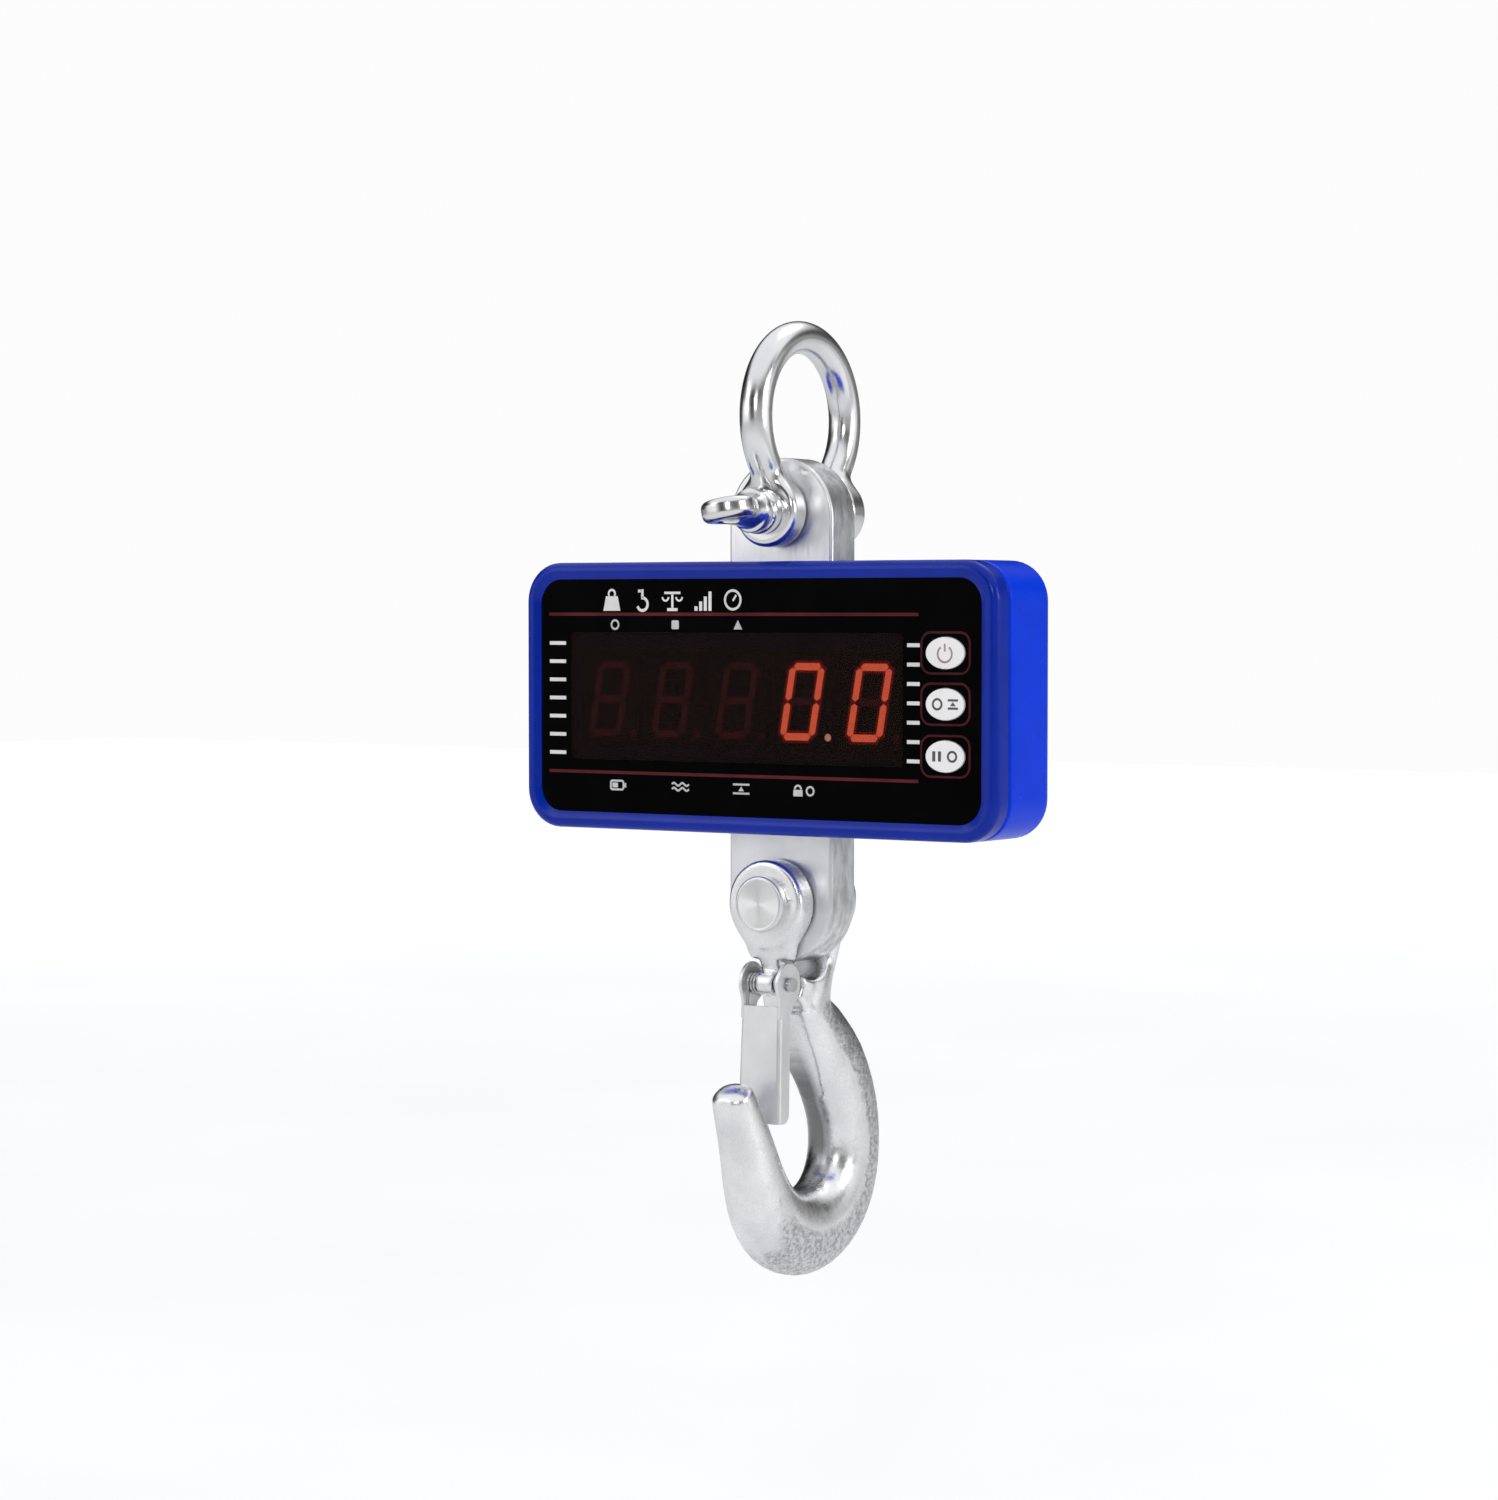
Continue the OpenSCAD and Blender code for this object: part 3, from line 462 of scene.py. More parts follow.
def join(*parts):
    verts, faces = [], []
    for v, f in parts:
        faces += [tuple(i + len(verts) for i in face) for face in f]
        verts += list(v)
    return verts, faces


# ---------------------------------------------------------------- blended forgings from distance functions
def smin(a, b, k):
    h = np.clip(0.5 + 0.5 * (b - a) / k, 0, 1)
    return b * (1 - h) + a * h - k * h * (1 - h)


def rod(p, axis, centre, r, lo, hi, edge):
    """Rod along an axis, with rounded ends."""
    others = [i for i in range(3) if i != axis]
    q = np.hypot(p[:, others[0]] - centre[0], p[:, others[1]] - centre[1]) - (r - edge)
    d = np.abs(p[:, axis] - (lo + hi) / 2) - ((hi - lo) / 2 - edge)
    return np.minimum(np.maximum(q, d), 0) + np.hypot(np.maximum(q, 0), np.maximum(d, 0)) - edge


def block(p, lo, hi, edge):
    lo, hi = np.array(lo, float), np.array(hi, float)
    q = np.abs(p - (lo + hi) / 2) - ((hi - lo) / 2 - edge)
    return np.minimum(q.max(1), 0) + np.linalg.norm(np.maximum(q, 0), axis=1) - edge


def limb(p, stations, power, stub=1.0):
    """Limb in the YZ plane: stations of y, z, half depth and half width; a stub over 1 flattens its ends."""
    s = np.array(stations, np.float64)
    best = np.full(len(p), 1e9)
    depth, width = np.ones(len(p)), np.ones(len(p))
    side, over = np.zeros(len(p)), np.zeros(len(p))
    for i in range(len(s) - 1):
        a, b = s[i, :2], s[i + 1, :2]
        d = b - a
        length = np.hypot(*d)
        rel = p[:, 1:] - a
        t = rel @ d / length**2
        tc = np.clip(t, 0, 1)
        off = rel - tc[:, None] * d
        dist = np.hypot(off[:, 0], off[:, 1])
        near = dist < best
        best = np.where(near, dist, best)
        w = s[i] + tc[:, None] * (s[i + 1] - s[i])
        depth, width = np.where(near, w[:, 2], depth), np.where(near, w[:, 3], width)
        end = (t < 0) if i == 0 else ((t > 1) if i == len(s) - 2 else np.zeros(len(p), bool))
        along = np.where(end, np.abs(t - tc) * length, 0) * stub
        over = np.where(near, along, over)
        side = np.where(near, np.sqrt(np.maximum(dist**2 - (along / stub) ** 2, 0)), side)
    small = np.minimum(depth, width)
    f = (side / depth) ** power + (np.abs(p[:, 0]) / width) ** power + (over / small) ** power
    return (f ** (1 / power) - 1) * small


def smooth_stations(stations, steps):
    s = np.array(stations, float)
    e = np.vstack([2 * s[0] - s[1], s, 2 * s[-1] - s[-2]])
    out = []
    for i in range(1, len(s)):
        for k in range(steps):
            t = k / steps
            a, b, c, d = e[i - 1 : i + 3]
            square, cube = 2 * a - 5 * b + 4 * c - d, 3 * b - a - 3 * c + d
            out.append(0.5 * (2 * b + (c - a) * t + square * t**2 + cube * t**3))
    out.append(s[-1])
    return np.array(out)


def skin(f, lo, hi, step):
    """Closed mesh of the surface f = 0: a surface net, then every point is moved onto the surface."""
    lo, hi = np.array(lo, float) - 2 * step, np.array(hi, float) + 2 * step
    n = (np.ceil((hi - lo) / step / 4) * 4).astype(int) + 1
    axes = [lo[i] + step * np.arange(n[i]) for i in range(3)]
    grid = np.stack(np.meshgrid(*axes, indexing="ij"), -1)
    # A coarse pass finds the blocks the surface crosses; only those are sampled finely.
    coarse = f(grid[2::4, 2::4, 2::4].reshape(-1, 3)).reshape([len(range(2, k, 4)) for k in n])
    value = np.repeat(np.repeat(np.repeat(coarse, 4, 0), 4, 1), 4, 2)
    value = np.pad(value, [(0, k - m) for k, m in zip(n, value.shape)], mode="edge")
    close = np.abs(value) < 6 * step
    for axis in range(3):
        close |= np.roll(close, 1, axis) | np.roll(close, -1, axis)
    batches = np.array_split(grid[close], close.sum() // 60000 + 1)
    value[close] = np.concatenate([f(part) for part in batches])
    inside = value < 0
    corners = sum(
        inside[i : n[0] - 1 + i, j : n[1] - 1 + j, k : n[2] - 1 + k].astype(int)
        for i in (0, 1)
        for j in (0, 1)
        for k in (0, 1)
    )
    active = (corners > 0) & (corners < 8)
    index = np.full(active.shape, -1)
    index[active] = np.arange(active.sum())
    verts = lo + (np.argwhere(active) + 0.5) * step
    faces = []
    for axis in range(3):
        here = [slice(None)] * 3
        there = [slice(None)] * 3
        here[axis], there[axis] = slice(0, -1), slice(1, None)
        a, b = inside[tuple(here)], inside[tuple(there)]
        u, v = [i for i in range(3) if i != axis]
        for flip, cells in ((False, np.argwhere(a & ~b)), (True, np.argwhere(~a & b))):
            quad = []
            for du, dv in ((0, 0), (-1, 0), (-1, -1), (0, -1)):
                c = cells.copy()
                c[:, u] += du
                c[:, v] += dv
                quad.append(index[c[:, 0], c[:, 1], c[:, 2]])
            quad = np.stack(quad if flip == (axis != 1) else quad[::-1], 1)
            faces.append(quad)
    faces = np.concatenate(faces)
    edges = np.concatenate([faces[:, [i, (i + 1) % 4]] for i in range(4)])
    edges = np.concatenate([edges, edges[:, ::-1]])
    count = np.maximum(np.bincount(edges[:, 0], minlength=len(verts)), 1)

    probe = 0.02

    def land(points, rounds):
        for _ in range(rounds):
            value = f(points)
            grad = np.stack([(f(points + d) - f(points - d)) / (2 * probe) for d in (np.eye(3) * probe)], 1)
            size = np.maximum(np.sum(grad**2, 1), 0.05)
            points = points - np.clip(value / size, -step, step)[:, None] * grad
        return points

    verts = land(verts, 2)
    for _ in range(4):
        mean = np.stack([np.bincount(edges[:, 0], verts[edges[:, 1], i], len(verts)) for i in range(3)], 1)
        verts = land(0.4 * verts + 0.6 * mean / count[:, None], 1)
    return land(verts, 2), [tuple(q) for q in faces.tolist()]


# ---------------------------------------------------------------- shackle
def build_bow():
    lo, hi = box("shackle_bow")
    bar = hi[2] / 2  # the crown runs from Z = 0 to the top of the box
    half_span = (hi[1] - lo[1]) / 2
    crown_r = half_span - bar
    crown_z = bar - crown_r
    ear_r, ear_t, pin_proud = PIN_Z - lo[2], 11.0, 2
    ear_mid = box("shackle_pin")[1][1] - pin_proud - ear_t / 2
    leg_r = 25.0
    bend_y = ear_mid + leg_r
    drop = math.sqrt((crown_r + leg_r) ** 2 - bend_y**2)
    bend_z = crown_z - drop
    tilt = math.degrees(math.atan2(drop, bend_y))
    path = arc(0, crown_z, crown_r, crown_r, 90, -tilt, 40)
    path += arc(bend_y, bend_z, leg_r, leg_r, 180 - tilt, 180, 10)[1:]
    path += [(ear_mid, bend_z - 4), (ear_mid, PIN_Z + 4)]
    half = []
    for y, z in path:
        # The bar thins a little and widens sideways where it runs into the ear.
        grow = min(max((bend_z + 6 - z) / 14, 0), 1)
        half.append((y, z, bar * (1 - 0.16 * grow), bar * (1 + 0.12 * grow)))
    stations = [(-y, z, a, b) for y, z, a, b in half[::-1]] + half[1:]

    def f(p):
        d = limb(p, stations, 2.0)
        for s in (-1, 1):
            ear = rod(p, 1, (0, PIN_Z), ear_r, s * ear_mid - ear_t / 2, s * ear_mid + ear_t / 2, 2.4)
            d = smin(d, ear, 5.0)
        return d

    start, end = (-ear_r - 1, -half_span - 1, lo[2] - 1), (ear_r + 1, half_span + 1, hi[2] + 1)
    shape = clipped(skin(f, start, end, step=0.9), lo, hi)
    piece("bow_forging", shape, "plated_steel", "bow", ("shackle_bow",), 60)


def build_shackle_pin():
    """Screw pin: a stepped collar against the ear, and a flat eye turned a little from level."""
    lo, hi = box("shackle_pin")
    shank_r, collar_r, step_r, hole_r, edge = 8, 9.4, 9.0, 4.2, 2.8
    tab_t, tab_r, tilt = 8.4, -lo[0], math.radians(11)
    tab_y = lo[1] + tab_r
    collar_y = 1.9 - hi[1]  # the collar's inner face; the shank ends 2 mm proud of the far ear

    def f(p):
        d = rod(p, 1, (0, PIN_Z), shank_r, collar_y - 1, hi[1], 1.0)
        d = np.minimum(d, rod(p, 1, (0, PIN_Z), collar_r, collar_y - 5.4, collar_y, 1.0))
        d = smin(d, rod(p, 1, (0, PIN_Z), step_r, collar_y - 10.6, collar_y - 5.2, 1.3), 0.4)
        x, z = p[:, 0], p[:, 2] - PIN_Z
        c, s = math.cos(tilt), math.sin(tilt)
        q = np.stack([x * c + z * s, p[:, 1], z * c - x * s], 1)
        t = np.clip((collar_y - 8 - p[:, 1]) / 15, 0, 1)
        neck = np.maximum(np.hypot(x * 0.9, z) - (8.2 - 4.4 * t), np.abs(p[:, 1] - (collar_y - 15)) - 8)
        tab = rod(q, 2, (0, tab_y), tab_r, -tab_t / 2, tab_t / 2, edge)
        web = block(q, (-7.6, tab_y, -tab_t / 2), (7.6, collar_y - 8, tab_t / 2), edge)
        d = smin(d, smin(neck, smin(tab, web, 2.0), 3.0), 0.8)
        hole = rod(p, 2, (0, tab_y), hole_r, PIN_Z - 20, PIN_Z + 20, 0.1)
        return -smin(-d, hole, 0.8)

    shape = clipped(skin(f, lo - 1, hi + 1, step=0.7), lo, hi)
    piece("eye_screw_pin", shape, "plated_steel", "shackle_pin", ("shackle_pin",), 50)


# ---------------------------------------------------------------- load cell
def build_cell():
    half, bevel = (CELL_HI[0] - CELL_LO[0]) / 2, 1.5
    top = CELL_HI[2] - half

    def end(z, first, last):
        return [(half * math.cos(a), z + half * math.sin(a)) for a in np.radians(np.arange(first, last, 4))]

    outline = [(-half, HOOK_Z)] + end(HOOK_Z, 184, 357) + [(half, HOOK_Z)] + end(top, 0, 181)
    shape = plate(outline, CELL_LO[1], CELL_HI[1], bevel, axis=1)
    made = piece("cell_bar", shape, "zinc_plate", "scale_body", ("load_cell",))
    depth = np.array([v.co[1] for v in made.data.vertices]) / MM
    # The mark "cut" is 1 on the bar's sides and 0 on its faces; the paint darkens the sides with grain and painted
    # shade.
    cut = np.clip((CELL_HI[1] - CELL_LO[1]) / 2 - np.abs(depth - CELL_Y), 0, 1)
    write_mark(made, "cut", cut)
    weigh(made)


# ---------------------------------------------------------------- housing
def build_housing():
    w, h, r = CASE_W, CASE_H, 16.0

    def level(inset, y):
        return rounded_ring(w - 2 * inset, h - 2 * inset, r - inset, y, cz=CASE_Z)

    y0, y1 = FRAME_LO[1], FRAME_HI[1]
    open_w, open_h, open_r = PANEL_HI[0] - PANEL_LO[0] + 0.4, PANEL_HI[2] - PANEL_LO[2] + 0.4, 10.2
    seam, bead, hollow = 1.2, 3.4, 1.3
    rings = [level(d, y) for d, y in arc(seam, y1 - seam, seam, seam, 90, 180, 5)]
    rings += [level(d, y) for d, y in arc(bead, y0 + bead, bead, bead, 180, 270, 9)]
    # A narrow crown, then a slope that curves down to the panel.
    crown_w, crown_h, crown_r = w - 2 * bead, h - 2 * bead, r - bead
    for k in range(1, 11):
        t = k / 10
        drop = hollow * max(0, (t - 0.15) / 0.85) ** 1.25
        size = crown_w + (open_w - crown_w) * t, crown_h + (open_h - crown_h) * t
        rings.append(rounded_ring(*size, crown_r + (open_r - crown_r) * t, y0 + drop, cz=CASE_Z))
    rings.append(rounded_ring(open_w, open_h, open_r, FACE_Y + 2, cz=CASE_Z))
    for y in (FACE_Y + 2.8, y1):
        rings.append(rounded_ring(open_w - 8, open_h - 8, open_r - 3, y, cz=CASE_Z))
    shape = loft(rings, closed=True)
    # The front frame takes the darkened copy of the blue paint: painted shade.
    weigh(piece("display_rim", shape, "rim_paint", "scale_body", ("front_frame",), 40, slot="blue_paint"))

    y0, y1 = REAR_LO[1], REAR_HI[1]
    lip, back_r = 1.8, 6
    rings = [level(back_r, y0)]
    rings += [level(d, y) for d, y in arc(lip, y0 + lip, lip, lip, 270, 180, 6)]
    rings += [level(d, y) for d, y in arc(back_r, y1 - back_r, back_r, back_r, 180, 90, 10)]
    shell = piece("case_shell", loft(rings), "blue_paint", "scale_body", ("rear_case",), 40)
    cutter = build_cutter(y1)
    cut = shell.modifiers.new("openings", "BOOLEAN")
    cut.operation, cut.solver, cut.object = "DIFFERENCE", "EXACT", cutter
    weigh(shell)
    with bpy.context.temp_override(object=shell, active_object=shell, selected_objects=[shell]):
        bpy.ops.object.modifier_apply(modifier="openings")
    bpy.data.objects.remove(cutter)


def build_cutter(rear_y):
    """The slots for the load cell, the screw recesses and the socket hole, as one mesh."""
    (x0, y0, top_z), (x1, y1, top_end) = box("top_seal")
    low_lo, low_hi = box("bottom_seal")
    parts = []
    corners = (x0, y0), (x1, y0), (x1, y1), (x0, y1)
    for ends in ((top_z, top_end + 5), (low_lo[2] - 5, low_hi[2])):
        parts.append(loft([[(x, y, z) for x, y in corners] for z in ends]))
    lo, hi = box("case_screws")
    head_r, deep, clear = 2.9, 2.4, 2
    recess = [(3.2, hi[1] - deep), (3.2, rear_y + clear)]
    for x, dz in ((lo[0] + head_r, 45.5), (hi[0] - head_r, 45.5), (-42, 49.2), (42, 49.2)):
        for s in (-1, 1):
            parts.append(lathe_y(recess, x, CASE_Z + s * dz, 32))
    lo, hi = box("cell_screws")
    head_r, countersink = 4.8, [(2.7, rear_y - 2.5), (5.2, rear_y), (5.2, rear_y + clear)]
    for x in (lo[0] + head_r, hi[0] - head_r):
        parts.append(lathe_y(countersink, x, (lo[2] + hi[2]) / 2, 32))
    lo, hi = box("charging_socket")
    cy, cz, hole_r = (lo[1] + hi[1]) / 2, (lo[2] + hi[2]) / 2, 6.7
    angles = np.linspace(0, 2 * math.pi, 40, endpoint=False)
    ring = [(cy + hole_r * math.cos(a), cz + hole_r * math.sin(a)) for a in angles]
    parts.append(loft([[(x, y, z) for y, z in ring] for x in (REAR_LO[0] - 3, hi[0] + 0.5)]))
    verts, faces = join(*parts)
    mesh = bpy.data.meshes.new("cutter")
    mesh.from_pydata((np.array(verts) * MM).tolist(), [], faces)
    bm = bmesh.new()
    bm.from_mesh(mesh)
    bmesh.ops.recalc_face_normals(bm, faces=bm.faces)
    bm.to_mesh(mesh)
    bm.free()
    return add_object("cutter", mesh)


def build_keys():
    w, h, skirt, stem, edge = 17.7, 12.5, 2.4, 4.4, 0.5
    for name in KEYS:
        lo, hi = box(name)
        cx, cz = (lo[0] + hi[0]) / 2, (lo[2] + hi[2]) / 2
        back_y, skirt_y = FACE_Y + 3.3, FACE_Y + 2.1
        levels = [(stem, stem, hi[1]), (stem, stem, back_y), (w + skirt, h + skirt, back_y)]
        levels += [(w + skirt, h + skirt, skirt_y), (w, h, skirt_y), (w, h, FACE_Y - 0.05)]
        rounding = arc(edge, lo[1] + edge + 0.05, edge, edge, 180, 270, 6)
        levels += [(w - 2 * d, h - 2 * d, y) for d, y in rounding]
        levels += [(w * k, h * k, lo[1] + 0.05 * k) for k in (0.75, 0.5, 0.25, 0.02)]
        shape = loft([ellipse_ring(cx, cz, *level) for level in levels])
        piece(name + "_cap", shape, "key_white", name, (name,), 50)


# ---------------------------------------------------------------- printed marks and digits
def strokes(lines, y, thick=0.04):
    """Thin raised bands. Each line is (points, width, closed) in X and Z."""
    verts, faces = [], []
    for points, width, closed in lines:
        p = np.array(points, float)
        ahead = np.roll(p, -1, 0) - p
        behind = p - np.roll(p, 1, 0)
        if not closed:
            ahead[-1], behind[0] = behind[-1], ahead[0]
        ahead /= np.linalg.norm(ahead, axis=1)[:, None]
        behind /= np.linalg.norm(behind, axis=1)[:, None]
        side = np.stack([-(ahead[:, 1] + behind[:, 1]), ahead[:, 0] + behind[:, 0]], 1)
        side /= np.linalg.norm(side, axis=1)[:, None]
        cosine = np.maximum(np.abs(np.sum(side * np.stack([-ahead[:, 1], ahead[:, 0]], 1), 1)), 0.4)
        side = side * (width / 2 / cosine)[:, None]
        n, base = len(p), len(verts)
        for q, depth in ((p + side, y - thick), (p - side, y - thick), (p - side, y), (p + side, y)):
            verts += [(a, depth, b) for a, b in q]
        for i in range(n if closed else n - 1):
            j = (i + 1) % n
            for level in range(4):
                a, b = base + level * n, base + (level + 1) % 4 * n
                faces.append((a + i, a + j, b + j, b + i))
        if not closed:
            faces.append(tuple(base + level * n for level in range(4)))
            faces.append(tuple(base + level * n + n - 1 for level in (3, 2, 1, 0)))
    return verts, faces


def fills(shapes, y, thick=0.04):
    """Thin raised convex shapes."""
    return join(*(loft([[(a, at, b) for a, b in points] for at in (y, y - thick)]) for points in shapes))


def circle(cx, cz, r, steps=24, a0=0.0, a1=360.0):
    points = arc(cx, cz, r, r, a0, a1, steps)
    return points[:-1] if a1 - a0 >= 360 else points


def dash(x0, x1, z, width):
    return [(x0, z), (x1, z)], width, False


def rect(x0, z0, x1, z1):
    return [(x0, z0), (x1, z0), (x1, z1), (x0, z1)]


def marks(name, parts, ink, body="scale_body", slot="panel_black"):
    piece(name, join(*parts), ink, body, sharp=30, slot=slot)


def square_ring(cx, cz, w, h, r, steps=6):
    return [(x, z) for x, _, z in rounded_ring(w, h, r, 0, cx, cz, steps)]


def build_marks():
    y, z = FACE_Y, CASE_Z
    marks("panel_lines", [strokes([dash(-102.5, 77.8, z + dz, 1.3) for dz in (33.7, -31.5)], y)], "print_red")
    ticks = []
    for k in range(7):
        at = z + 21.7 - 7.57 * k
        ticks += [dash(-102.2, -93.8, at, 1.5), dash(72.6, 78.4, at, 1.5)]
    marks("panel_ticks", [strokes(ticks, y)], "print_white")
    frames = []
    for name in KEYS:
        lo, hi = box(name)
        frames.append((square_ring((lo[0] + hi[0]) / 2, (lo[2] + hi[2]) / 2, 21.9, 16.0, 4.2), 0.9, True))
    marks("key_frames", [strokes(frames, y)], "print_dark_red")

    # Generic pictograms above the window: a weight, a hook, a balance, a chart and a dial.
    t = z + 39.5
    weight, hook, balance, chart, dial = -70.2, -54.7, -39.7, -24.5, -9.9
    lines, solid = [], []
    x = weight
    solid.append([(x - 4.3, t - 4.4), (x + 4.3, t - 4.4), (x + 3.0, t + 1.6), (x - 3.0, t + 1.6)])
    lines.append((circle(x, t + 2.6, 1.6, 20, -35, 215), 0.9, False))
    x = hook
    lines.append(([(x, t + 4.4), (x, t + 0.9)] + circle(x, t - 1.7, 2.6, 20, 90, -160), 1.2, False))
    solid.append(rect(x - 2.2, t + 3.1, x - 0.8, t + 4.3))
    x = balance
    lines.append(dash(x - 4.0, x + 4.0, t + 2.9, 1.0))
    lines.append(([(x, t + 2.3), (x, t - 3.2)], 1.1, False))
    lines.append(dash(x - 2.6, x + 2.6, t - 3.9, 1.2))
    for dx in (-3.4, 3.4):
        lines.append((circle(x + dx, t + 1.2, 1.5, 12, 180, 360), 0.8, False))
    for k in range(4):
        left = chart - 4.2 + 2.3 * k
        solid.append(rect(left, t - 4.4, left + 1.5, t - 2.6 + 2.0 * k))
    x = dial
    lines.append((circle(x, t, 3.8, 32), 1.0, True))
    lines.append(([(x, t - 0.4), (x + 1.7, t + 1.9)], 0.9, False))
    marks("panel_pictograms", [strokes(lines, y), fills(solid, y)], "print_white")

    # Small generic marks beside the indicator lamps: three units above the window, and a battery, a wave,
    # a zero sign and a lock below it.
    lines, solid = [], []
    t = z + 29.4
    lines.append((circle(-68.6, t, 1.8, 20), 0.8, True))
    solid.append(square_ring(-38.3, t, 3.6, 3.6, 0.5, 3))
    solid.append([(-9.5, t - 1.8), (-5.3, t - 1.8), (-7.4, t + 2.0)])
    t = z - 36.7
    lines.append((square_ring(-67.6, t, 6.4, 3.6, 0.8, 3), 0.8, True))
    solid.append(rect(-63.9, t - 0.9, -63.0, t + 0.9))
    solid.append(rect(-70.0, t - 1.0, -67.2, t + 1.0))
    for dz in (-0.9, 1.1):
        wave = [(-40 + 0.5 * k, t + dz + 0.6 * math.sin(k * math.pi / 4.2)) for k in range(18)]
        lines.append((wave, 0.8, False))
    lines.append(dash(-9.8, -1.8, t + 1.8, 0.8))
    lines.append(dash(-9.8, -1.8, t - 1.8, 0.8))
    solid.append([(-7.2, t - 0.9), (-4.4, t - 0.9), (-5.8, t + 1.0)])
    lines.append((circle(21.6, t + 0.6, 1.5, 12, 0, 180), 0.8, False))
    solid.append(rect(19.4, t - 2.2, 23.8, t + 0.4))
    lines.append((circle(27.4, t, 1.7, 18), 0.8, True))
    marks("panel_labels", [strokes(lines, y), fills(solid, y)], "print_grey")


def build_key_marks():
    thick = 0.05
    for name in KEYS:
        lo, hi = box(name)
        cx, cz, y = (lo[0] + hi[0]) / 2, (lo[2] + hi[2]) / 2, lo[1] + 0.055
        if name == "power_key":
            lines = [(circle(cx, cz - 0.4, 3.2, 28, 125, 415), 0.8, False)]
            lines.append(([(cx, cz - 0.6), (cx, cz + 3.6)], 0.8, False))
            solid = []
        elif name == "zero_key":
            lines = [(circle(cx - 3.4, cz, 2.0, 20), 0.9, True)]
            lines += [dash(cx + 1.4, cx + 6.0, cz + dz, 0.9) for dz in (1.6, -1.6)]
            solid = [[(cx + 2.4, cz - 0.7), (cx + 5.0, cz - 0.7), (cx + 3.7, cz + 1.0)]]
        else:
            lines = [(circle(cx + 3.4, cz, 1.9, 20), 0.9, True)]
            solid = [rect(x, cz - 2, x + 1.4, cz + 2) for x in (cx - 5.6, cx - 3.0)]
        ink = "key_ink_rose" if name == "power_key" else "key_ink"
        marks(name + "_symbol", [strokes(lines, y, thick), fills(solid, y, thick)], ink, name, "key_white")


SEG_W, SEG_H, SEG_T, SEG_LEAN = 16.6, 31.0, 2.9, math.tan(math.radians(10))


def segments(cx, cz, which, grow=0.0):
    """Seven-segment shapes: each a flat hexagon with pointed ends, leaning to the right."""
    w, h, t = SEG_W / 2 - SEG_T / 2, SEG_H / 2 - SEG_T / 2, SEG_T / 2 + grow
    gap = 0.45 - grow
    ends = {
        "a": ((-w, h), (w, h)),
        "b": ((w, h), (w, 0)),
        "c": ((w, 0), (w, -h)),
        "d": ((-w, -h), (w, -h)),
        "e": ((-w, 0), (-w, -h)),
        "f": ((-w, h), (-w, 0)),
        "g": ((-w, 0), (w, 0)),
    }
    out = []
    for s in which:
        a, b = (np.array(v, float) for v in ends[s])
        d = (b - a) / np.linalg.norm(b - a)
        n = np.array((-d[1], d[0]))
        a, b = a + d * gap, b - d * gap
        point, n = d * SEG_T * 0.35, n * t
        shape = [a, a + point + n, b - point + n, b, b - point - n, a + point - n]
        out.append([(cx + q[0] + q[1] * SEG_LEAN, cz + q[1]) for q in shape])
    return out


def build_digits():
    for i in range(1, 6):
        lo, hi = box("led_digit_%d" % i)
        cx, cz, y = (lo[0] + hi[0]) / 2, (lo[2] + hi[2]) / 2, lo[1]
        front_y = y - 0.03
        dot = circle(cx + 12.2, cz - SEG_H / 2 + 1.4, 1.5, 20)
        dim = segments(cx, cz, "abcdefg") + [dot]
        if i >= 4:
            # The last two digits show a zero each, with the point between them.
            halo, zero = segments(cx, cz, "abcdef", 1.1), segments(cx, cz, "abcdef")
            marks("digit_%d_halo" % i, [fills(halo, y, 0.02)], "segment_halo", slot="led_body")
            marks("digit_%d_lit" % i, [fills(zero, front_y, 0.06)], "segment_lit", slot="led_lens")
            dim = dim[6:]
            if i == 4:
                marks("point_lit", [fills([dot], front_y, 0.06)], "point_lit", slot="led_lens")
                dim = dim[:1]
        # The unlit segments glow faintly: painted light.
        marks("digit_%d_dim" % i, [fills(dim, y, 0.03)], "segment_ghost", slot="led_body")


# ---------------------------------------------------------------- hook and latch
# The latch's angle from upright: it leans out at rest and in at its limit, 34 degrees further.
LATCH_LEAN, LATCH_IN = math.radians(2.6), math.radians(34 - 2.6)
LUG_AT = LATCH_Y - HOOK_Y, LATCH_Z - HOOK_Z
HEAD_T = 4.3
FORK = 9.6  # half the gap between the fork's arms
# Y and Z from the hook pin, half depth and half width.
HOOK_STATIONS = [
    (2.5, -30, 11, 11.2), (4.5, -45, 12.2, 11.6), (14.5, -56, 16, 12.2), (28.3, -71, 17.4, 12.6),
    (37.3, -88.5, 17, 12.8), (39.2, -105, 16.6, 13), (35.6, -119, 17, 13.2), (27, -129.5, 17.4, 13.3),
    (14.5, -135.6, 17.6, 13.4), (1, -136.6, 17.6, 13.3), (-11.5, -132.5, 16.6, 13),
    (-21, -124, 15.2, 12.5), (-27.5, -112.5, 13, 11.8), (-32.5, -99.5, 10.9, 10.8),
    (-37.5, -87.5, 9.4, 9.8), (-41.3, -79.5, 8.4, 9.0), (-42.6, -76.9, 7.9, 8.5),
]  # fmt: skip
FRONT_ARM = [
    (-15.2, -4, 5.4, 14), (-14.9, -16, 5.2, 12.2), (-12.2, -26, 4.3, 8.6), (-8, -34, 5, 8.4), (-3, -42, 7, 9),
]  # fmt: skip
REAR_ARM = [(16, -4, 6.2, 14), (16, -16, 5.8, 12.6), (14.2, -27, 5, 11), (9, -37, 6, 10.6), (4, -44, 8, 10.8)]


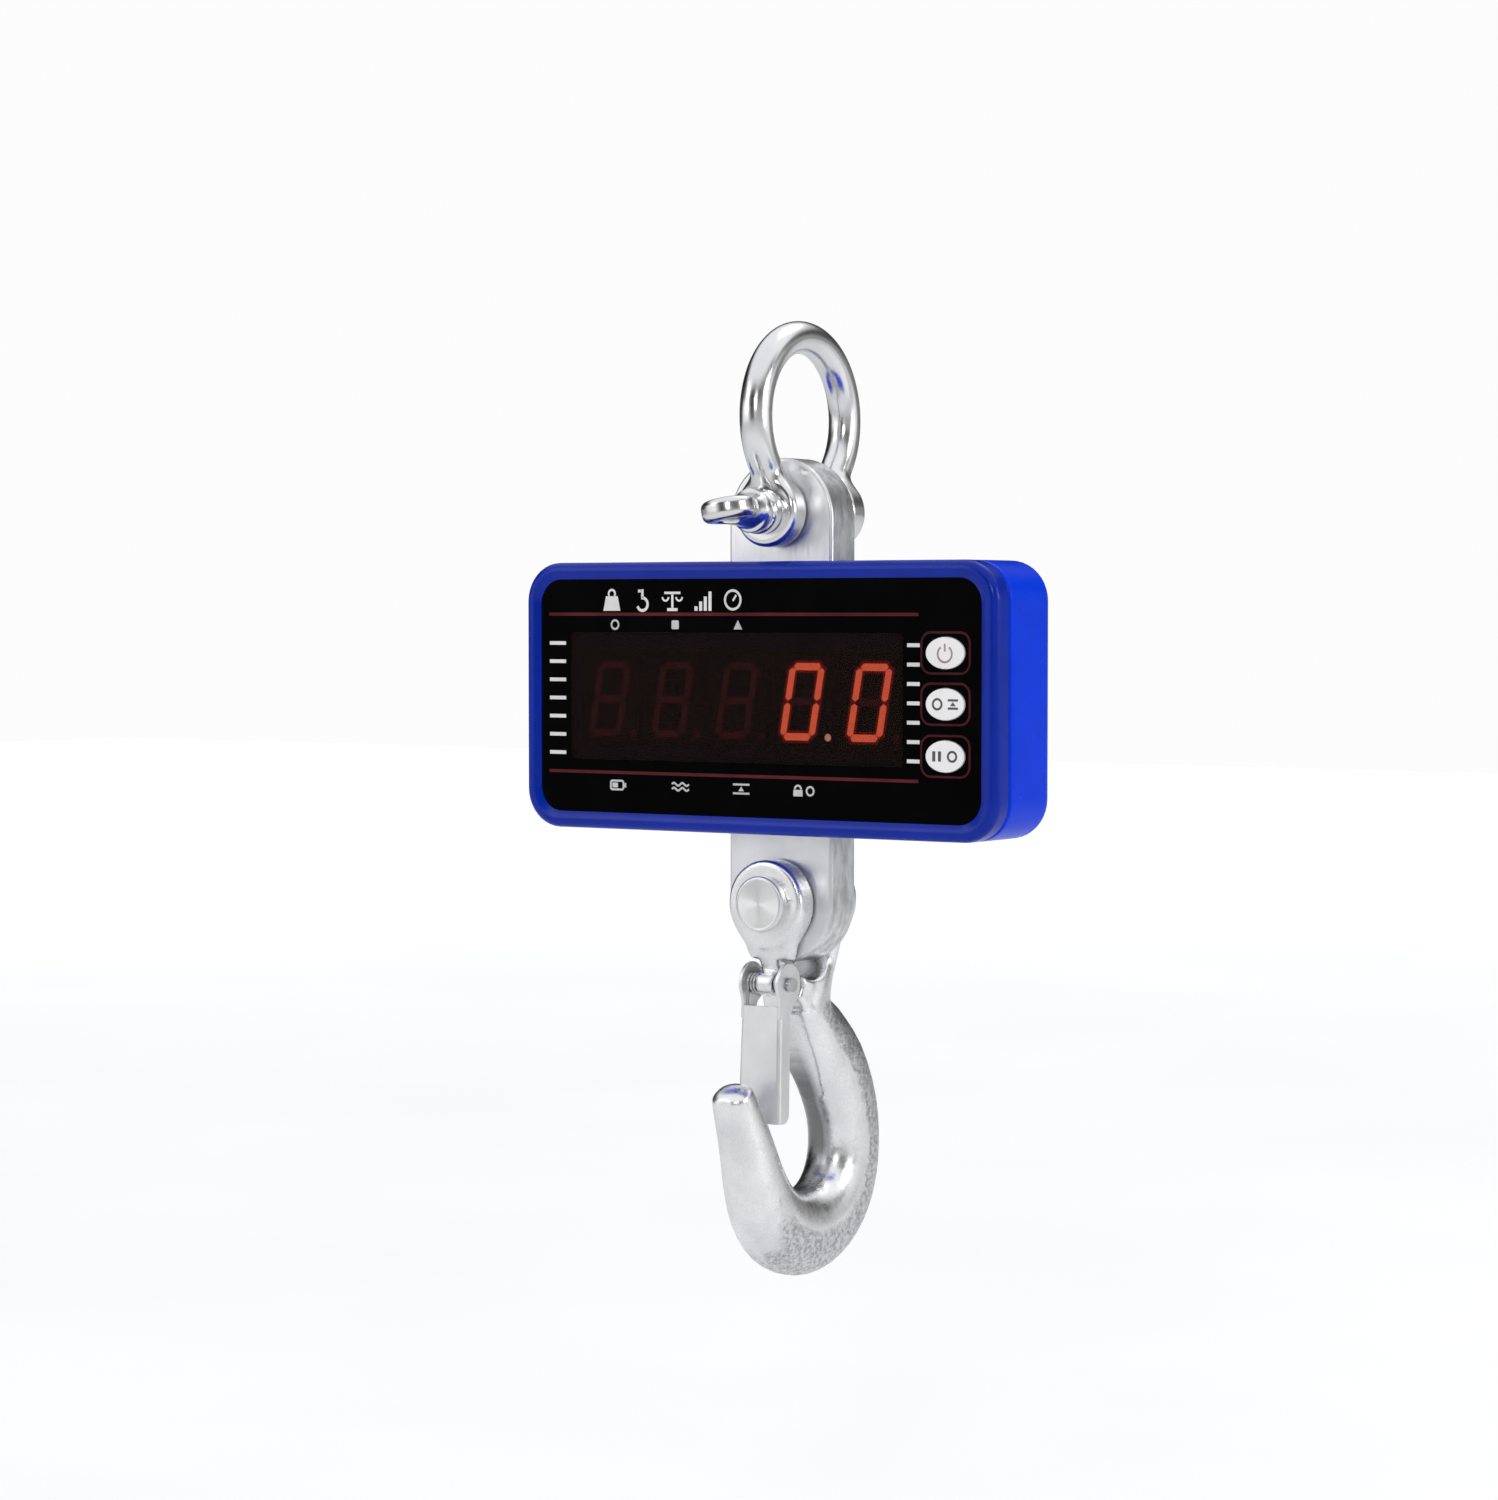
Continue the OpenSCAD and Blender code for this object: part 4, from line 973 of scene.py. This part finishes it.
def build_hook():
    lo, hi = box("hook")
    ear_r = hi[2] - HOOK_Z
    front_out = HOOK_Y - (box("hook_pin")[0][1] + HEAD_T)
    rear_out = box("pin_washer")[0][1] - HOOK_Y
    stations, front, rear = (smooth_stations(points, 3) for points in (HOOK_STATIONS, FRONT_ARM, REAR_ARM))
    lug_y, lug_z = LUG_AT
    root, lug_half, lug_r, cheek_x, cheek_r, wide = -22.4, 4, 5.0, 4.2, 9.8, 60

    def f(q):
        p = q - (0, HOOK_Y, HOOK_Z)
        front_ear = rod(p, 1, (0, 0), ear_r, -front_out, -FORK, 1.8)
        rear_ear = rod(p, 1, (0, 0), ear_r, FORK, rear_out, 1.8)
        arms = np.minimum(smin(limb(p, front, 2.8), front_ear, 3.0), smin(limb(p, rear, 2.8), rear_ear, 3.0))
        slot = block(p, (-wide, -FORK, root), (wide, FORK, wide), 0.1)
        slot = np.minimum(slot, rod(p, 0, (0, root), FORK, -wide, wide, 0.1))
        d = smin(limb(p, stations, 2.35, 1.7), arms, 5.0)
        lug = rod(p, 0, LUG_AT, lug_r, -lug_half, lug_half, 0.6)
        bridge = block(p, (-lug_half, lug_y, lug_z - lug_r), (lug_half, lug_y + 12, lug_z + lug_r), 0.8)
        # Clearance for the latch's cheeks beside the lug, then for the latch pushed right in.
        spans = (cheek_x, 30), (-30, -cheek_x)
        room = np.minimum(*(rod(p, 0, LUG_AT, cheek_r, *span, 0.3) for span in spans))
        c, s = math.cos(LATCH_IN), math.sin(LATCH_IN)
        y, z = p[:, 1] - lug_y, p[:, 2] - lug_z
        turned = np.stack([p[:, 0], c * y + s * z, c * z - s * y], 1)
        room = np.minimum(room, block(turned, (-11, -8, -59), (11, 1.9, -6), 0.5))
        room = np.minimum(room, block(turned, (-11, -8, -15), (11, 3.6, -8), 0.5))
        d = -smin(-d, slot, 1.2)
        d = -smin(-d, room, 0.8)
        return smin(d, np.minimum(lug, bridge), 1.0)

    shape = clipped(skin(f, lo - 1, hi + 1, step=1.15), lo, hi)
    made = piece("hook_forging", shape, "zinc_forging", "hook", ("hook",), 60)
    # The outer skin of the bend, and the bottom of the bowl, stayed as forged.
    at = np.array([v.co for v in made.data.vertices]) / MM - (0, HOOK_Y, HOOK_Z)
    away = at[:, None, 1:] - stations[None, :, :2]
    nearest = np.argmin(np.sum(away**2, 2), 1)
    tangent = np.gradient(stations[:, :2], axis=0)
    tangent /= np.linalg.norm(tangent, axis=1)[:, None]
    outward = np.stack([-tangent[:, 1], tangent[:, 0]], 1)[nearest]
    off = at[:, 1:] - stations[nearest, :2]
    reach = np.sum(off * outward, 1) / stations[nearest, 2]
    y, z = at[:, 1], at[:, 2]
    bend = np.clip((reach + 0.3) / 0.5, 0, 1) * np.clip((-38 - z) / 8, 0, 1) * np.clip((y + 34) / 20, 0, 1)
    bowl = np.clip((-reach - 0.75) * 4, 0, 1) * np.clip((-112 - z) / 8, 0, 1) * 0.8
    # Painted shade: the hook's inner bore on the shank's side is darkened to stand in for its shade and dark
    # reflections.
    throat_shade = np.clip((-reach - 0.62) / 0.3, 0, 1) * np.clip((y + 6) / 12, 0, 1)
    throat_shade *= np.clip((-38 - z) / 12, 0, 1) * np.clip((z + 124) / 5, 0, 1)
    throat_shade *= np.clip((5.5 - at[:, 0]) / 5, 0, 1)
    write_mark(made, "raw", np.maximum(bend, bowl))
    write_mark(made, "throat_shade", throat_shade)


def build_hook_pin():
    lo, hi = box("hook_pin")
    y0, y1 = lo[1], lo[1] + HEAD_T
    head_r, shank_r, rim, grooves = -lo[0], 8, 1.2, 18
    # A turned head: rounded rim, and a face that dishes very slightly to the centre.
    profile = [(0.05, y0 + 0.3)]
    for k in range(1, grooves + 1):
        profile.append(((head_r - 1.3) * k / grooves, y0 + 0.26 - 0.2 * (k / grooves) ** 2 + 0.035 * (k % 2)))
    profile += arc(head_r - rim, y0 + rim, rim, rim, -90, 0, 6)
    profile += [(head_r, y1 - 0.3), (head_r - 0.3, y1), (shank_r, y1)]
    profile += [(shank_r, hi[1] - 1), (shank_r - 1, hi[1]), (0.05, hi[1])]
    shape = lathe_y(profile, 0, HOOK_Z, 96)
    piece("hook_pin_turned", shape, "turned_steel", "hook", ("hook_pin",), slot="plated_steel")


def build_latch():
    """Sheet-metal channel: a web that widens downwards, two flanges, and two round cheeks at the rivet."""
    lo, hi = box("latch")
    sheet, flange, front, length, corner, neck = 1.5, 7.4, -6.2, 56.3, 4, 9
    bend_out, bend_in, cheek_r = 1.8, 0.5, 8.6
    half_top, half_low = hi[0] - 0.75, hi[0]
    levels = [-9.0, -10.5, -14.0, -24.0, -34.0, -44.0]
    levels += [-length + corner - corner * math.sin(math.radians(a)) for a in (0, 20, 40, 60, 78, 90)]

    def wall(half, bend, web, reach):
        """Section of one face of the sheet, from a flange's edge across the web to the other's."""
        side = [(half, reach)]
        for a in np.linspace(0, math.pi / 2, 5):
            side.append((half - bend + bend * math.cos(a), web + bend - bend * math.sin(a)))
        return side + [(-x, y) for x, y in side[::-1]]

    rings = []
    for z in levels:
        along = min(max((-z - neck) / (length - neck), 0), 1)
        half = half_top + (half_low - half_top) * along
        down = max(-length + corner - z, 0)
        reach = front + flange - (corner - math.sqrt(max(corner**2 - down**2, 0)))
        section = wall(half, bend_out, front, reach) + wall(half - sheet, bend_in, front + sheet, reach)[::-1]
        rings.append([(x, y, z) for x, y in section])
    cheeks = []
    for s in (-1, 1):
        outline = [(cheek_r * math.cos(a), cheek_r * math.sin(a)) for a in np.radians(np.arange(-62, 216, 6))]
        outline += [(front + 0.02, -8.0), (front + 0.02, -14.0), (front + flange, -14.0)]
        x0, x1 = sorted((s * (half_top - 0.03), s * (half_top - sheet + 0.03)))
        cheeks.append(plate(outline, x0, x1, 0.35))
    verts, faces = join(loft(rings), *cheeks)
    turn = Matrix.Rotation(-LATCH_LEAN, 3, "X")
    pivot = Vector((0, LATCH_Y, LATCH_Z))
    shape = clipped(([tuple(turn @ Vector(v) + pivot) for v in verts], faces), lo, hi)
    weigh(piece("latch_sheet", shape, "latch_sheet", "latch", ("latch",)))


def build_springs():
    """Torsion springs beside the lug, each coiled from an inner end to an outer end."""
    wire_r, coil_r, x_in, x_out, turns = 0.6, 3.9, 4.8, 8.0, 2.25
    steps, sides = 72, 12
    path = [(x_in, 2.8, coil_r)]
    for k in range(steps + 1):
        a = math.pi / 2 + 2 * math.pi * turns * k / steps
        path.append((x_in + (x_out - x_in) * k / steps, coil_r * math.cos(a), coil_r * math.sin(a)))
    path.append((x_out, -coil_r, -14))
    path = np.array(path)
    ahead = np.gradient(path, axis=0)
    ahead /= np.linalg.norm(ahead, axis=1)[:, None]
    across = np.cross(ahead, (1, 0, 0))
    across /= np.linalg.norm(across, axis=1)[:, None]
    third = np.cross(ahead, across)
    for side, sign in (("right", 1), ("left", -1)):
        rings = []
        for p, u, v in zip(path, across, third):
            angles = np.arange(sides) * 2 * math.pi / sides
            ring = [p + wire_r * (u * math.cos(a) + v * math.sin(a)) for a in angles]
            rings.append([(sign * x, y + LATCH_Y, z + LATCH_Z) for x, y, z in ring])
        made = piece("latch_spring_" + side, loft(rings), "hardware_steel", None, ("latch_spring",), 60)
        ends = [(sign * x * MM, LATCH_Y * MM, LATCH_Z * MM) for x in (x_in, x_out)]
        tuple(ends[0])
        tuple(ends[1])
        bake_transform(made)


# ---------------------------------------------------------------- studio
def build_floor():
    size, z = 8.0, cad_lo[2] - 0.16
    mesh = bpy.data.meshes.new("floor")
    corners = [(-size, -size, z), (size, -size, z), (size, size, z), (-size, size, z)]
    mesh.from_pydata(corners, [], [(0, 1, 2, 3)])
    floor = add_object("floor", mesh)
    p = Paint("studio_floor", Roughness=0.8, Emission_Strength=1.0)
    p.colour(p.ramp(p.noise(3, 3), (0.82, 0.82, 0.82), (0.85, 0.85, 0.85)))
    # A glow that is seen directly, but lights nothing, makes the floor meet the pale background.
    away = p.node("ShaderNodeVectorMath", operation="LENGTH")
    p.link(p.where, away.inputs[0])
    glare = p.mix(p.span(away.outputs["Value"], 0.0, 1.0, 0.6, 4.0), (0.20, 0.20, 0.20), (0.42, 0.42, 0.42))
    direct = p.node("ShaderNodeLightPath").outputs["Is Camera Ray"]
    p.link(p.mix(direct, (0, 0, 0), glare), p.shader.inputs["Emission Color"])
    mesh.materials.append(p.material)


# Grey panels round the object, as degrees from the X axis and brightness.
PANELS = (
    (-180, 0.16), (-150, 0.05), (-82, 0.05), (-62, 0.95), (-24, 1.0), (-10, 0.4), (-3, 0.06), (18, 0.06),
    (27, 0.36), (80, 0.40), (90, 0.08), (104, 0.08), (114, 1.0), (128, 0.95), (142, 0.28), (166, 0.2),
)  # fmt: skip
# The panels are dimmed in a belt above the horizon, by height from straight down, 0, to straight up, 1.
BELT = ((0.0, 1), (0.58, 1), (0.63, 0.35), (0.70, 0.3), (0.76, 0.95), (1.0, 1.0))


def build_world():
    world = bpy.data.worlds.new("studio")
    world.use_nodes = True
    w = Nodes(world.node_tree, "Generated")
    sky = w.tree.nodes["Background"]
    sky.inputs["Strength"].default_value = 1.05
    axis = w.node("ShaderNodeSeparateXYZ")
    w.link(w.where, axis.inputs["Vector"])
    x, y, z = (axis.outputs[key] for key in "XYZ")
    turn = w.math("ARCTAN2", x, w.math("MULTIPLY", y, -1))
    around = w.steps(w.span(turn, 0, 1, -math.pi, math.pi), [((a + 180) / 360, level) for a, level in PANELS])
    walls = w.mix(1, around, w.steps(w.span(z, 0, 1, -1, 1), BELT), "MULTIPLY")
    ceiling = w.span(z, 0, 1, 0.45, 0.7, interpolation_type="SMOOTHSTEP")
    room = w.mix(ceiling, walls, (0.95, 0.96, 0.98))
    # What is seen directly is plain white; the panels only show as reflections.
    direct = w.node("ShaderNodeLightPath").outputs["Is Camera Ray"]
    w.link(w.mix(direct, room, (0.93, 0.93, 0.93)), sky.inputs["Color"])
    bpy.context.scene.world = world


# Place and size in metres, power in watts.
LAMPS = (
    ("key", (-1.1, -1.5, 0.6), 0.9, 4),
    ("front", (0.95, -1.75, 0.55), 0.3, 5),
    ("side", (1.9, 0.2, 0.35), 0.8, 9.5),
    ("rear", (0.2, 1.0, 1.7), 1.0, 5),
)


def build_lamps():
    target = (cad_lo + cad_hi) / 2
    for name, at, size, power in LAMPS:
        lamp = bpy.data.lights.new(name, "AREA")
        lamp.size, lamp.energy = size, power
        holder = add_object(name, lamp)
        holder.location = at
        holder.rotation_mode = "QUATERNION"
        holder.rotation_quaternion = (target - Vector(at)).to_track_quat("-Z", "Y")


build_bow()
build_shackle_pin()
build_cell()
build_housing()
build_keys()
build_marks()
build_key_marks()
build_digits()
build_hook()
build_hook_pin()
build_latch()
build_springs()
build_floor()
build_world()
build_lamps()
